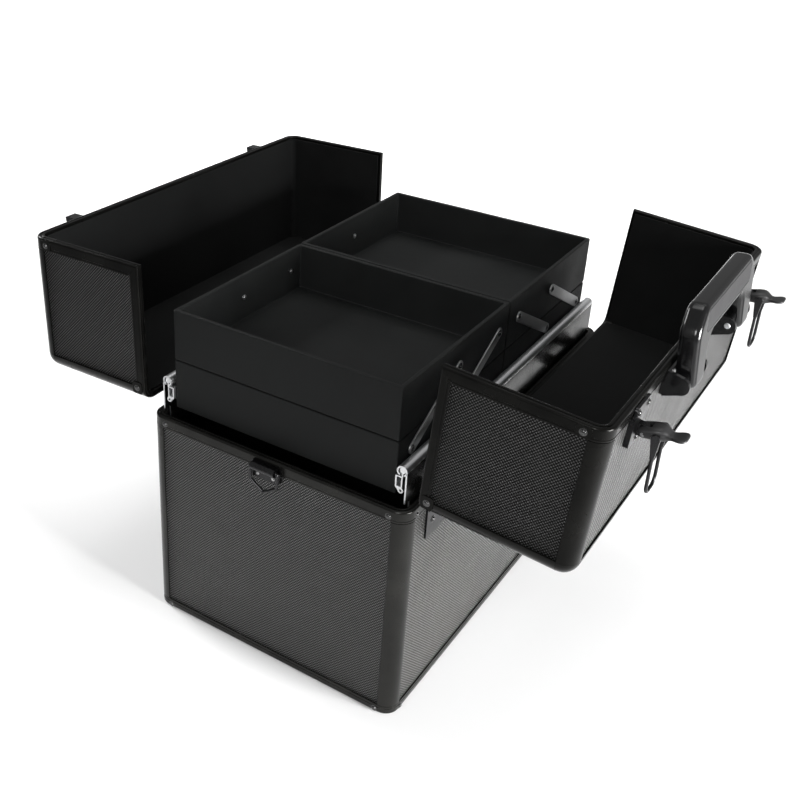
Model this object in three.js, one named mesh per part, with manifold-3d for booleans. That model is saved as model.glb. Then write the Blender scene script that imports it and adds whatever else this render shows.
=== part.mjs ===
// Makeup train case, shown open: a deep framed body, two lids split along the
// long centre line, four cantilever trays on two rails, one carrying handle.
// Millimetres, +Z up, +Y along the case, origin at the middle of the underside.
import * as THREE from 'three';
import { mergeVertices } from 'three/addons/utils/BufferGeometryUtils.js';
import Module from 'manifold-3d';

const wasm = await Module();
wasm.setup();

// ---------- driving dimensions ----------
const HALF_WIDTH = 116;
const HALF_LENGTH = 180;
const BODY_HEIGHT = 189;
const CASE_HEIGHT = 301;
const CORNER_RADIUS = 12;
const SKIN = 1.2;
const GAP = 0.3;
const PANEL = 3;
const PANEL_OUT = SKIN + GAP;
const PANEL_IN = PANEL_OUT + PANEL;
const FLANGE_IN = PANEL_IN + GAP;
const WALL = FLANGE_IN + 1;
const LINING_OUT = WALL + GAP;
const LINING_IN = LINING_OUT + 0.8;
const ARC_STEPS = 5;

const RIM_BAND = 10;
const BASE_BAND = 8;
const BASE_LIP = 10;
const INNER_FLANGE = 8;
const SLOT_START = 10;

const LID_GAP = 0.5;
const LID_LOW = BODY_HEIGHT + LID_GAP;
const CENTRE_GAP = 0.3;
const LID_RIM_BAND = 8;
const LID_EDGE_BAND = 10;
const LINING_CHAMFER = 6;
const UPRIGHT_CORNER = 8.5;
const HINGE_X = HALF_WIDTH + 5.5;
const HINGE_Z = 190;
const RIGHT_OPEN = 94.4;
const LEFT_OPEN = 91.1;

const HINGE_CENTRES = { near: -119, far: 119 };
const HINGE_HALF = 30;
const KNUCKLE_HALF = 11.5;
const KNUCKLE_RADIUS = 3.4;
const HINGE_PIN = 1.5;
const LEAF = 1.4;
const BODY_LEAF_LOW = 150;
const LID_LEAF_HIGH = 228;

const RAIL_HALF = 171.5;
const TUBE_X = 104.6;
const TUBE_Z = 217;
const TUBE_RADIUS = 4.2;
const RAIL_FOOT = 150;
const RAIL_FOOT_HALF = 165;
const RAIL_STEP = 191;
const SLIT_HALF = 1.5;

const TRAY_HALF = 98.9;
const TRAY_NEAR = 168.5;
const TRAY_CENTRE = 0.8;
const TRAY_HEIGHT = 42;
const TRAY_WALL = 3.5;
const TRAY_FLOOR = 3;
const LOWER_Z = 194.3;
const UPPER_Z = LOWER_Z + TRAY_HEIGHT + 0.6;
const HANGER_END = 170.5;
const HANGER_TOP = 212;
const HANGER_LIP = 201.5;
const HANGER_WALL = 1.1;
const CURL_Z = 200.4;
const CURL_RADIUS = 2.2;
const CURL_BORE = 1;
const BEAD_RADIUS = 2.4;
const BEAD_WEB = 0.6;

const LOW_PIVOTS = { outer: 150.5, inner: 84 };
const PIVOT_SHIFT = 65.5;
const LOW_PIVOT_Z = 223.5;
const HIGH_PIVOT_Z = 259.5;
const LINK_RADIUS = 4.5;
const LINK_THICK = 1.4;
const STUD = 1.5;
const STUD_HOLE = 1.9;
const INNER_HEAD = 3;
const OUTER_HEAD = 2.6;

const HANDLE_X = 11.5;
const HANDLE_H = 11;
const HANDLE_LEAN = 8.7;
const EAR_OUTER = 76;
const EAR_INNER = 35;
const EAR = 3;
const HANDLE_PIN = 2;
const HANDLE_HOLE = 2.4;
const EAR_RADIUS = 6.5;
const BRACKET_XS = [4, 23];
const GRIP_TOP = -39;
const GRIP_INNER = -14;
const GRIP_HALF = 70;
const GRIP_THICK = 14;
const GRIP_BEVEL = 3;
const LEG_OUTER = 68;
const LEG_INNER = 46;
const FOOT_RADIUS = 6.8;
const PAD_MIDDLE = -27;
const PAD_HALF_X = 8;
const PAD_HALF_Y = 54;
const PAD_LOW = 5.8;
const PAD_THICK = 1.5;

const LATCH_Y = 125;
const LATCH_HALF = 13;
const LEVER_X = 22;
const LEVER_H = 7.2;
const LEVER_REST = 100;
const LEVER_HALF = 7.5;
const LEVER_SLOT = 3.4;
const LEVER_PIN = 1.5;
const LEVER_HOLE = 1.8;
const BASE_XS = [3, 33];
const POST_HALF = 4;
const POST_THICK = 3;
const BAIL_OFFSET = 9;
const BAIL_REACH = 41;
const BAIL_WIRE = 1;
const BAIL_EYE = 2.6;
const BAIL_PIN = 1.1;
const CATCH_XS = [2, 31];
const CATCH_HALF = 7.2;
const CATCH_BLOCK = 8.2;
const CATCH_REACH = 13.5;
const CATCH_UNDER = 8.9;
const CATCH_LIP = 10.5;
const CATCH_NOSE = 12.5;
const PLATE_LOW = 0.3;
const PLATE_HIGH = 2.3;

const RING_X = -2.5;
const RING_Y = 184.3;
const RING_Z = 183;
const RING_WIRE = 1.2;
const RING_HALF = 13.4;
const RING_SHOULDER = 170;
const RING_TIP = 161;
const STRAP_HALF = 13;
const STRAP_FOLD_HALF = 10.6;
const STRAP_FOLD = 3.4;
const STRAP_LOW = 172;
const STRAP_HIGH = 186;
const STRAP_THICK = 1.5;

// ---------- finishes ----------
const FINISH = {
  panel: { color: 0x17181a, roughness: 0.35, metalness: 0.2 },
  frame: { color: 0x222222, roughness: 0.3, metalness: 0.8 },
  lining: { color: 0x0d0d0e, roughness: 0.9, metalness: 0 },
  silver: { color: 0xc4c6c8, roughness: 0.3, metalness: 0.9 },
  steel: { color: 0x55585b, roughness: 0.35, metalness: 0.9 },
  tray: { color: 0x1b1c1e, roughness: 0.7, metalness: 0 },
  plastic: { color: 0x141415, roughness: 0.25, metalness: 0 },
  pad: { color: 0x242526, roughness: 0.55, metalness: 0 },
};

// ---------- shape helpers ----------
const radians = (degrees) => (degrees * Math.PI) / 180;

function solid(geometry) {
  const bare = geometry.index ? geometry.toNonIndexed() : geometry.clone();
  bare.deleteAttribute('normal');
  bare.deleteAttribute('uv');
  const merged = mergeVertices(bare, 1e-4);
  const mesh = new wasm.Mesh({
    numProp: 3,
    vertProperties: new Float32Array(merged.attributes.position.array),
    triVerts: new Uint32Array(merged.index.array),
  });
  return new wasm.Manifold(mesh);
}

// Box between two corners, given as spans in any order.
function block(xs, ys, zs) {
  const spans = [xs, ys, zs].map((s) => [Math.min(...s), Math.max(...s)]);
  const sizes = spans.map(([low, high]) => high - low);
  const middles = spans.map(([low, high]) => (low + high) / 2);
  return solid(new THREE.BoxGeometry(...sizes).translate(...middles));
}

// Prism of an outline: across x the outline is (y, z), across y (x, z), across z (x, y).
function prism(axis, outline, from, to, holes = []) {
  const shape = new THREE.Shape(outline.map(([u, v]) => new THREE.Vector2(u, v)));
  for (const hole of holes) {
    shape.holes.push(new THREE.Path(hole.map(([u, v]) => new THREE.Vector2(u, v))));
  }
  const low = Math.min(from, to);
  const depth = Math.abs(to - from);
  const geometry = new THREE.ExtrudeGeometry(shape, { depth, bevelEnabled: false });
  geometry.translate(0, 0, low);
  return solid(turned(geometry, axis));
}

// Turns a shape drawn in (u, v) and pushed along w so that w lies on the named axis.
function turned(geometry, axis) {
  const turn = new THREE.Matrix4();
  if (axis === 'x') {
    turn.set(0, 0, 1, 0, 1, 0, 0, 0, 0, 1, 0, 0, 0, 0, 0, 1);
  }
  if (axis === 'y') {
    geometry.scale(1, 1, -1);
    turn.set(1, 0, 0, 0, 0, 0, -1, 0, 0, 1, 0, 0, 0, 0, 0, 1);
    return flipped(geometry).applyMatrix4(turn);
  }
  return geometry.applyMatrix4(turn);
}

// Turns every face over, after a mirroring scale.
function flipped(geometry) {
  const faces = geometry.index ? geometry.toNonIndexed() : geometry;
  const p = faces.attributes.position;
  const a = new THREE.Vector3();
  const b = new THREE.Vector3();
  for (let i = 0; i < p.count; i += 3) {
    a.fromBufferAttribute(p, i + 1);
    b.fromBufferAttribute(p, i + 2);
    p.setXYZ(i + 1, b.x, b.y, b.z);
    p.setXYZ(i + 2, a.x, a.y, a.z);
  }
  return faces;
}

// Round bar along an axis through (u, v) of the other two axes.
function bar(axis, u, v, radius, from, to, sides = 12) {
  return prism(axis, arc(u, v, radius, 0, 360 - 360 / sides, sides - 1), from, to);
}

function arc(u, v, radius, start, end, steps = ARC_STEPS) {
  const points = [];
  for (let i = 0; i <= steps; i += 1) {
    const angle = radians(start + ((end - start) * i) / steps);
    points.push([u + radius * Math.cos(angle), v + radius * Math.sin(angle)]);
  }
  return points;
}

function roundedRectangle(halfU, halfV, radius) {
  const u = halfU - radius;
  const v = halfV - radius;
  return [
    ...arc(u, v, radius, 0, 90),
    ...arc(-u, v, radius, 90, 180),
    ...arc(-u, -v, radius, 180, 270),
    ...arc(u, -v, radius, 270, 360),
  ];
}

function slot(u0, v0, u1, v1, radius) {
  const lean = (Math.atan2(v1 - v0, u1 - u0) * 180) / Math.PI;
  return [
    ...arc(u0, v0, radius, lean + 90, lean + 270, 8),
    ...arc(u1, v1, radius, lean - 90, lean + 90, 8),
  ];
}

// ---------- placing ----------
const group = new THREE.Group();
group.name = 'makeup_train_case';

function geometryOf(part) {
  const mesh = part.getMesh();
  const geometry = new THREE.BufferGeometry();
  geometry.setAttribute('position', new THREE.BufferAttribute(mesh.vertProperties, 3));
  geometry.setIndex(new THREE.BufferAttribute(mesh.triVerts, 1));
  geometry.computeVertexNormals();
  return geometry;
}

function place(name, part, finish, turn) {
  const geometry = geometryOf(part);
  if (turn) geometry.applyMatrix4(turn);
  const material = new THREE.MeshStandardMaterial(FINISH[finish]);
  material.name = finish;
  const mesh = new THREE.Mesh(geometry, material);
  mesh.name = name;
  group.add(mesh);
}

// Rotation about a line along Y through (x, z), positive from +Z toward +X.
function turnAbout(x, z, degrees) {
  const turn = new THREE.Matrix4().makeTranslation(x, 0, z);
  turn.multiply(new THREE.Matrix4().makeRotationY(radians(degrees)));
  return turn.multiply(new THREE.Matrix4().makeTranslation(-x, 0, -z));
}

// ---------- body ----------
function ring(outInset, inInset, from, to) {
  const outline = (inset) =>
    roundedRectangle(HALF_WIDTH - inset, HALF_LENGTH - inset, Math.max(CORNER_RADIUS - inset, 1));
  return prism('z', outline(outInset), from, to, [outline(inInset)]);
}

function bodyPanels() {
  const low = SKIN + GAP;
  const high = BODY_HEIGHT - SKIN - GAP;
  const endX = HALF_WIDTH - SLOT_START - GAP;
  const sideY = HALF_LENGTH - SLOT_START - GAP;
  const ends = [['near', -1], ['far', 1]];
  for (const [name, s] of ends) {
    const ys = [s * (HALF_LENGTH - PANEL_OUT), s * (HALF_LENGTH - PANEL_IN)];
    place(`body_${name}_panel`, block([-endX, endX], ys, [low, high]), 'panel');
  }
  const sides = [['left', -1], ['right', 1]];
  for (const [name, s] of sides) {
    const xs = [s * (HALF_WIDTH - PANEL_OUT), s * (HALF_WIDTH - PANEL_IN)];
    place(`body_${name}_panel`, block(xs, [-sideY, sideY], [low, high]), 'panel');
  }
}

function bodyFloor() {
  const lipX = HALF_WIDTH - BASE_LIP - 1;
  const lipY = HALF_LENGTH - BASE_LIP - 1;
  const edgeX = HALF_WIDTH - FLANGE_IN;
  const edgeY = HALF_LENGTH - FLANGE_IN;
  const middle = block([-lipX, lipX], [-lipY, lipY], [0, PANEL_IN]);
  const edge = block([-edgeX, edgeX], [-edgeY, edgeY], [PANEL_OUT, PANEL_IN]);
  place('body_floor_panel', middle.add(edge), 'panel');
}

function cornerPosts() {
  const section = [
    ...arc(CORNER_RADIUS, CORNER_RADIUS, CORNER_RADIUS, 270, 180, ARC_STEPS + 2),
    [SKIN, CORNER_RADIUS],
    [SKIN, SLOT_START],
    [FLANGE_IN, SLOT_START],
    [FLANGE_IN, CORNER_RADIUS],
    [WALL, CORNER_RADIUS],
    [WALL, WALL],
    [CORNER_RADIUS, WALL],
    [CORNER_RADIUS, FLANGE_IN],
    [SLOT_START, FLANGE_IN],
    [SLOT_START, SKIN],
    [CORNER_RADIUS, SKIN],
  ];
  const low = BASE_BAND + GAP;
  const high = BODY_HEIGHT - RIM_BAND - GAP;
  for (const [endName, sy] of [['near', -1], ['far', 1]]) {
    for (const [sideName, sx] of [['left', -1], ['right', 1]]) {
      const outline = section.map(([a, b]) => [sx * (HALF_WIDTH - a), sy * (HALF_LENGTH - b)]);
      place(`body_${endName}_${sideName}_post`, prism('z', outline, low, high), 'frame');
    }
  }
}

function bodyFrames() {
  const rimLow = BODY_HEIGHT - RIM_BAND;
  const rim = ring(0, SKIN, rimLow, BODY_HEIGHT)
    .add(ring(0, WALL, BODY_HEIGHT - SKIN, BODY_HEIGHT))
    .add(ring(FLANGE_IN, WALL, BODY_HEIGHT - INNER_FLANGE, BODY_HEIGHT));
  place('body_rim_frame', rim, 'frame');
  const base = ring(0, SKIN, 0, BASE_BAND).add(ring(0, BASE_LIP, 0, SKIN));
  place('body_base_frame', base, 'frame');
}

function bodyLining() {
  const low = PANEL_IN + GAP;
  const high = BODY_HEIGHT - INNER_FLANGE;
  const outline = (inset, cut) => {
    const x = HALF_WIDTH - inset;
    const y = HALF_LENGTH - inset;
    const corner = (sx, sy) => [[sx * x, sy * (y - cut)], [sx * (x - cut), sy * y]];
    return [
      ...corner(1, 1),
      ...corner(-1, 1).reverse(),
      ...corner(-1, -1),
      ...corner(1, -1).reverse(),
    ];
  };
  const outer = prism('z', outline(LINING_OUT, 1), low, high);
  const inner = prism('z', outline(LINING_IN, LINING_CHAMFER), low + 1, high + 1);
  place('body_lining', outer.subtract(inner), 'lining');
}

// ---------- lids, drawn closed and then swung open ----------
// Solid lid block, inset all round, with its outer edges rounded or chamfered.
// The upright corners have a radius of their own, small inside to clear the rails.
function lidBlock(s, inset, rimInset, radius, steps = ARC_STEPS, uprightRadius = radius) {
  const x0 = CENTRE_GAP + rimInset;
  const x1 = HALF_WIDTH - inset;
  const y1 = HALF_LENGTH - inset;
  const z0 = LID_LOW + rimInset;
  const z1 = CASE_HEIGHT - inset;
  const along = [
    [x0, z0],
    [x1, z0],
    ...arc(x1 - radius, z1 - radius, radius, 0, 90, steps),
    [x0, z1],
  ];
  const across = [
    [-y1, z0],
    [y1, z0],
    ...arc(y1 - radius, z1 - radius, radius, 0, 90, steps),
    ...arc(radius - y1, z1 - radius, radius, 90, 180, steps),
  ];
  const upright = [
    [x0, -y1],
    ...arc(x1 - uprightRadius, uprightRadius - y1, uprightRadius, 270, 360, steps),
    ...arc(x1 - uprightRadius, y1 - uprightRadius, uprightRadius, 0, 90, steps),
    [x0, y1],
  ];
  const mirrored = (outline) => outline.map(([x, v]) => [s * x, v]);
  return prism('y', mirrored(along), -HALF_LENGTH, HALF_LENGTH)
    .intersect(prism('x', across, s * (CENTRE_GAP - 9), s * HALF_WIDTH))
    .intersect(prism('z', mirrored(upright), LID_LOW - 9, CASE_HEIGHT));
}

// Open-sided inner space of a lid: the block that hollows it at some inset.
function lidHollow(s, inset) {
  return lidBlock(s, inset, -5, CORNER_RADIUS - inset, ARC_STEPS, UPRIGHT_CORNER - inset);
}

function lidFrame(s) {
  const far = CORNER_RADIUS;
  const slotSpace = lidBlock(s, SKIN, SKIN, CORNER_RADIUS - SKIN).subtract(
    lidHollow(s, FLANGE_IN),
  );
  const topWindow = block(
    [s * (CENTRE_GAP + LID_EDGE_BAND), s * (HALF_WIDTH - far)],
    [far - HALF_LENGTH, HALF_LENGTH - far],
    [CASE_HEIGHT - 2, CASE_HEIGHT + 1],
  );
  const sideWindow = block(
    [s * (HALF_WIDTH - 2), s * (HALF_WIDTH + 1)],
    [far - HALF_LENGTH, HALF_LENGTH - far],
    [LID_LOW + LID_RIM_BAND, CASE_HEIGHT - far],
  );
  const endWindow = (e) =>
    block(
      [s * (CENTRE_GAP + LID_EDGE_BAND), s * (HALF_WIDTH - far)],
      [e * (HALF_LENGTH - 2), e * (HALF_LENGTH + 1)],
      [LID_LOW + LID_RIM_BAND, CASE_HEIGHT - far],
    );
  return lidBlock(s, 0, 0, CORNER_RADIUS)
    .subtract(lidHollow(s, WALL))
    .subtract(slotSpace)
    .subtract(lidBlock(s, PANEL, INNER_FLANGE, CORNER_RADIUS - PANEL))
    .subtract(topWindow)
    .subtract(sideWindow)
    .subtract(endWindow(1))
    .subtract(endWindow(-1));
}

function lidShell(s) {
  return lidBlock(s, PANEL_OUT, PANEL_OUT, CORNER_RADIUS - PANEL_OUT).subtract(
    lidHollow(s, PANEL_IN),
  );
}

function lidLining(s) {
  const outside = lidBlock(
    s,
    LINING_OUT,
    INNER_FLANGE + 1,
    CORNER_RADIUS - LINING_OUT,
    ARC_STEPS,
    UPRIGHT_CORNER - LINING_OUT,
  );
  return outside.subtract(
    lidBlock(s, LINING_IN, -5, LINING_CHAMFER, 1, UPRIGHT_CORNER - LINING_IN),
  );
}

function lids() {
  for (const [name, s, turn] of LIDS) {
    place(`${name}_lid_shell`, lidShell(s), 'panel', turn);
    place(`${name}_lid_frame`, lidFrame(s), 'frame', turn);
    place(`${name}_lid_lining`, lidLining(s), 'lining', turn);
  }
}

const LIDS = [
  ['left', -1, turnAbout(-HINGE_X, HINGE_Z, -LEFT_OPEN)],
  ['right', 1, turnAbout(HINGE_X, HINGE_Z, RIGHT_OPEN)],
];
const RIGHT_TURN = LIDS[1][2];
const LEFT_TURN = LIDS[0][2];

// ---------- hinges ----------
function bodyLeaf(s, y) {
  const face = HALF_WIDTH - PANEL_OUT + GAP;
  const proud = HALF_WIDTH + GAP;
  const under = BODY_HEIGHT - RIM_BAND - GAP;
  const plate = block(
    [s * face, s * (face + LEAF)],
    [y - HINGE_HALF, y + HINGE_HALF],
    [BODY_LEAF_LOW, under],
  );
  let leaf = plate.add(
    block([s * face, s * (proud + LEAF)], [y - HINGE_HALF, y + HINGE_HALF], [under - 3, under]),
  );
  const cut = KNUCKLE_HALF + GAP;
  for (const span of [[y - HINGE_HALF, y - cut], [y + cut, y + HINGE_HALF]]) {
    leaf = leaf
      .add(block([s * proud, s * (proud + LEAF)], span, [under - 3, HINGE_Z - 1]))
      .add(block([s * proud, s * HINGE_X], span, [HINGE_Z - KNUCKLE_RADIUS, HINGE_Z - 1]))
      .add(bar('y', s * HINGE_X, HINGE_Z, KNUCKLE_RADIUS, ...span));
  }
  return leaf.add(bar('y', s * HINGE_X, HINGE_Z, HINGE_PIN, y - HINGE_HALF, y + HINGE_HALF));
}

function lidLeaf(s, y) {
  const face = HALF_WIDTH - PANEL_OUT + GAP;
  const proud = HALF_WIDTH + GAP;
  const over = LID_LOW + LID_RIM_BAND + GAP;
  const middle = [y - KNUCKLE_HALF, y + KNUCKLE_HALF];
  return block(
    [s * face, s * (face + LEAF)],
    [y - HINGE_HALF, y + HINGE_HALF],
    [over, LID_LEAF_HIGH],
  )
    .add(block([s * face, s * (proud + LEAF)], middle, [over, over + 3]))
    .add(block([s * proud, s * (proud + LEAF)], middle, [HINGE_Z + 1, over + 3]))
    .add(block([s * proud, s * HINGE_X], middle, [HINGE_Z + 1, HINGE_Z + KNUCKLE_RADIUS]))
    .add(bar('y', s * HINGE_X, HINGE_Z, KNUCKLE_RADIUS, ...middle))
    .subtract(bar('y', s * HINGE_X, HINGE_Z, HINGE_PIN + GAP, middle[0] - 1, middle[1] + 1));
}

function hinges() {
  for (const [side, s, turn] of LIDS) {
    for (const [end, y] of Object.entries(HINGE_CENTRES)) {
      place(`${end}_${side}_hinge_body_leaf`, bodyLeaf(s, y), 'steel');
      place(`${end}_${side}_hinge_lid_leaf`, lidLeaf(s, y), 'steel', turn);
    }
  }
}

// ---------- rails and trays ----------
function trayRail(s) {
  const plateOut = TUBE_X + TUBE_RADIUS;
  const xs = [s * (plateOut - SKIN), s * plateOut];
  const plate = block(xs, [-RAIL_HALF, RAIL_HALF], [RAIL_STEP, TUBE_Z]);
  const foot = block(xs, [-RAIL_FOOT_HALF, RAIL_FOOT_HALF], [RAIL_FOOT, RAIL_STEP + 1]);
  const bore = bar('y', s * TUBE_X, TUBE_Z, TUBE_RADIUS - SKIN, -200, 200, 16);
  const slit = block([s * (TUBE_X - SLIT_HALF), s * (TUBE_X + SLIT_HALF)], [-200, 200], [
    TUBE_Z - TUBE_RADIUS - 1,
    TUBE_Z,
  ]);
  return bar('y', s * TUBE_X, TUBE_Z, TUBE_RADIUS, -RAIL_HALF, RAIL_HALF, 16)
    .add(plate)
    .add(foot)
    .subtract(bore)
    .subtract(slit);
}

// Hollow rail on a lower tray's flank: a box section, a foot curl and the bead in the tube.
function trayHanger(s, e) {
  const ys = [e * (TRAY_CENTRE + 1), e * HANGER_END];
  const left = TRAY_HALF + GAP;
  const right = TUBE_X + GAP;
  const foot = right - CURL_RADIUS;
  const outline = [
    [left, HANGER_TOP],
    [right, HANGER_TOP],
    [right, HANGER_LIP],
    [foot, HANGER_LIP - 2.5],
    [left, HANGER_LIP + HANGER_WALL],
  ].map(([x, z]) => [s * x, z]);
  const inside = [s * (left + HANGER_WALL), s * (right - HANGER_WALL)];
  const hollow = [HANGER_LIP + 2, HANGER_TOP - HANGER_WALL];
  const curl = [s * (TUBE_X - 0.8), CURL_Z];
  const web = [s * (TUBE_X - BEAD_WEB), s * (TUBE_X + BEAD_WEB)];
  return prism('y', outline, ...ys)
    .add(bar('y', ...curl, CURL_RADIUS, ...ys))
    .subtract(block(inside, [-HALF_LENGTH, HALF_LENGTH], hollow))
    .subtract(bar('y', ...curl, CURL_BORE, -HALF_LENGTH, HALF_LENGTH, 8))
    .add(block(web, ys, [HANGER_TOP - 0.5, TUBE_Z]))
    .add(bar('y', s * TUBE_X, TUBE_Z, BEAD_RADIUS, ...ys));
}

function tray(e, low, pivots) {
  const ys = [e * TRAY_CENTRE, e * TRAY_NEAR];
  const inside = [e * (TRAY_CENTRE + TRAY_WALL), e * (TRAY_NEAR - TRAY_WALL)];
  const half = TRAY_HALF - TRAY_WALL;
  let part = block([-TRAY_HALF, TRAY_HALF], ys, [low, low + TRAY_HEIGHT]).subtract(
    block([-half, half], inside, [low + TRAY_FLOOR, low + TRAY_HEIGHT + 1]),
  );
  for (const [y, z] of pivots) {
    part = part.subtract(bar('x', e * y, z, STUD_HOLE, -HALF_WIDTH, HALF_WIDTH));
  }
  return part;
}

// Flat link on the flank of both trays, with a headed stud at each end.
function trayLink(s, e, lowY) {
  const highY = lowY - PIVOT_SHIFT;
  const face = TRAY_HALF + GAP;
  const inner = TRAY_HALF - TRAY_WALL - GAP;
  const outline = slot(e * lowY, LOW_PIVOT_Z, e * highY, HIGH_PIVOT_Z, LINK_RADIUS);
  let link = prism('x', outline, s * face, s * (face + LINK_THICK));
  for (const [y, z] of [[lowY, LOW_PIVOT_Z], [highY, HIGH_PIVOT_Z]]) {
    link = link
      .add(bar('x', e * y, z, STUD, s * (inner - 1), s * (face + 1)))
      .add(bar('x', e * y, z, INNER_HEAD, s * (inner - 1), s * inner))
      .add(bar('x', e * y, z, OUTER_HEAD, s * (face + 1), s * (face + LINK_THICK + 0.8)));
  }
  return link;
}

function trays() {
  const lows = Object.values(LOW_PIVOTS);
  for (const [end, e] of [['near', -1], ['far', 1]]) {
    const lowPivots = lows.map((y) => [y, LOW_PIVOT_Z]);
    const highPivots = lows.map((y) => [y - PIVOT_SHIFT, HIGH_PIVOT_Z]);
    place(`${end}_lower_tray`, tray(e, LOWER_Z, lowPivots), 'tray');
    place(`${end}_upper_tray`, tray(e, UPPER_Z, highPivots), 'tray');
    for (const [side, s] of [['left', -1], ['right', 1]]) {
      place(`${end}_${side}_tray_hanger`, trayHanger(s, e), 'silver');
      for (const [where, lowY] of Object.entries(LOW_PIVOTS)) {
        place(`${end}_${where}_link_${side}`, trayLink(s, e, lowY), 'steel');
      }
    }
  }
  place('left_tray_rail', trayRail(-1), 'frame');
  place('right_tray_rail', trayRail(1), 'frame');
}

// ---------- handle, drawn lying level over the free edge of the right lid ----------
// Plate that follows the step from the edge band down to the panel.
function steppedPlate(s, xs, ys) {
  const step = CENTRE_GAP + LID_EDGE_BAND + GAP;
  const high = [CASE_HEIGHT + PLATE_LOW, CASE_HEIGHT + PLATE_HIGH];
  const low = [CASE_HEIGHT - PANEL_OUT + GAP, CASE_HEIGHT + PLATE_LOW + 0.5];
  return block([s * xs[0], s * xs[1]], ys, high).add(block([s * step, s * xs[1]], ys, low));
}

function handleBracket(e) {
  const z = CASE_HEIGHT + HANDLE_H;
  const profile = [
    [BRACKET_XS[0], CASE_HEIGHT + 1],
    [BRACKET_XS[1], CASE_HEIGHT + 1],
    ...arc(HANDLE_X + 0.5, z - 0.5, EAR_RADIUS, 10, 170, 8),
  ];
  const span = (a, b) => [e * a, e * b];
  return steppedPlate(1, BRACKET_XS, span(EAR_INNER, EAR_OUTER))
    .add(prism('y', profile, ...span(EAR_INNER, EAR_INNER + EAR)))
    .add(prism('y', profile, ...span(EAR_OUTER - EAR, EAR_OUTER)))
    .add(bar('y', HANDLE_X, z, HANDLE_PIN, ...span(EAR_INNER + 1, EAR_OUTER - 1)));
}

function handleGrip() {
  const foot = HANDLE_X + 4;
  const half = [
    [foot, LEG_OUTER],
    [foot, LEG_INNER],
    [GRIP_INNER + 4, LEG_INNER - 4],
    [GRIP_INNER, LEG_INNER - 10],
  ];
  const mirrored = half.map(([x, y]) => [x, -y]).reverse();
  const top = [
    [-26, -GRIP_HALF],
    [GRIP_TOP, 12 - GRIP_HALF],
    [GRIP_TOP, GRIP_HALF - 12],
    [-26, GRIP_HALF],
  ];
  const outline = [...top, ...half, ...mirrored];
  const shape = new THREE.Shape(outline.map(([x, y]) => new THREE.Vector2(x, y)));
  const geometry = new THREE.ExtrudeGeometry(shape, {
    depth: GRIP_THICK - 2 * GRIP_BEVEL,
    bevelEnabled: true,
    bevelThickness: GRIP_BEVEL,
    bevelSize: GRIP_BEVEL,
    bevelOffset: -GRIP_BEVEL,
    bevelSegments: 1,
  });
  const z = CASE_HEIGHT + HANDLE_H;
  geometry.translate(0, 0, z - GRIP_THICK / 2 + GRIP_BEVEL);
  const pocket = padBlock(GAP, z + PAD_LOW - GAP, z + GRIP_THICK);
  return solid(geometry)
    .add(footEnd(z, -1))
    .add(footEnd(z, 1))
    .subtract(bar('y', HANDLE_X, z, HANDLE_HOLE, -HALF_LENGTH, HALF_LENGTH))
    .subtract(pocket);
}

// Rounded end of a handle leg, about the pivot pin.
function footEnd(z, e) {
  return bar('y', HANDLE_X, z, FOOT_RADIUS, e * (LEG_INNER + 1), e * (LEG_OUTER - 1), 16);
}

// Block over the grip's inlay, larger all round by a margin.
function padBlock(margin, from, to) {
  const halfX = PAD_HALF_X + margin;
  const halfY = PAD_HALF_Y + margin;
  return block([PAD_MIDDLE - halfX, PAD_MIDDLE + halfX], [-halfY, halfY], [from, to]);
}

function handlePad() {
  const low = CASE_HEIGHT + HANDLE_H + PAD_LOW;
  return padBlock(0, low, low + PAD_THICK);
}

function handle() {
  const lean = turnAbout(HANDLE_X, CASE_HEIGHT + HANDLE_H, -HANDLE_LEAN);
  const turn = RIGHT_TURN.clone().multiply(lean);
  place('near_handle_bracket', handleBracket(-1), 'plastic', RIGHT_TURN);
  place('far_handle_bracket', handleBracket(1), 'plastic', RIGHT_TURN);
  place('handle_grip', handleGrip(), 'plastic', turn);
  place('handle_pad', handlePad(), 'pad', turn);
}

// ---------- latches on the right lid, catches on the left ----------
function latchBase(y) {
  const z = CASE_HEIGHT + LEVER_H;
  const post = [LEVER_X - POST_HALF, LEVER_X + POST_HALF];
  const ys = [y - POST_THICK, y + POST_THICK];
  return steppedPlate(1, BASE_XS, [y - LATCH_HALF, y + LATCH_HALF])
    .add(block(post, ys, [CASE_HEIGHT + 1, z]))
    .add(bar('y', LEVER_X, z, POST_HALF, ...ys, 16))
    .add(bar('y', LEVER_X, z, LEVER_PIN, y - LEVER_HALF + 0.5, y + LEVER_HALF - 0.5));
}

// Lever drawn flat, pointing away from the free edge.
function latchLever(y) {
  const z = CASE_HEIGHT + LEVER_H;
  const profile = [
    [-3.8, -2], [-2, -3.6], [12, -3.6], [15, -2.5], [25, -1.4], [26.5, 0], [25, 1.4],
    [16.5, 1.2], [13.5, 4.6], [9, 5.6], [5, 4.4], [-2, 4], [-3.8, 2],
  ].map(([x, h]) => [LEVER_X + x, z + h]);
  const past = LEVER_HALF + 1;
  const wide = [y - past, y + past];
  const slotXs = [LEVER_X - 2 * POST_HALF, LEVER_X + POST_HALF + 2 * GAP];
  const eye = LEVER_SLOT + BAIL_WIRE + 0.2;
  const bailHole = (from, to) => bar('y', LEVER_X + BAIL_OFFSET, z, LEVER_PIN, from, to);
  return prism('y', profile, y - LEVER_HALF, y + LEVER_HALF)
    .subtract(block(slotXs, [y - LEVER_SLOT, y + LEVER_SLOT], [z - past, z + past]))
    .subtract(bar('y', LEVER_X, z, LEVER_HOLE, ...wide))
    .subtract(bailHole(y - past, y - eye))
    .subtract(bailHole(y + eye, y + past));
}

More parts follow.
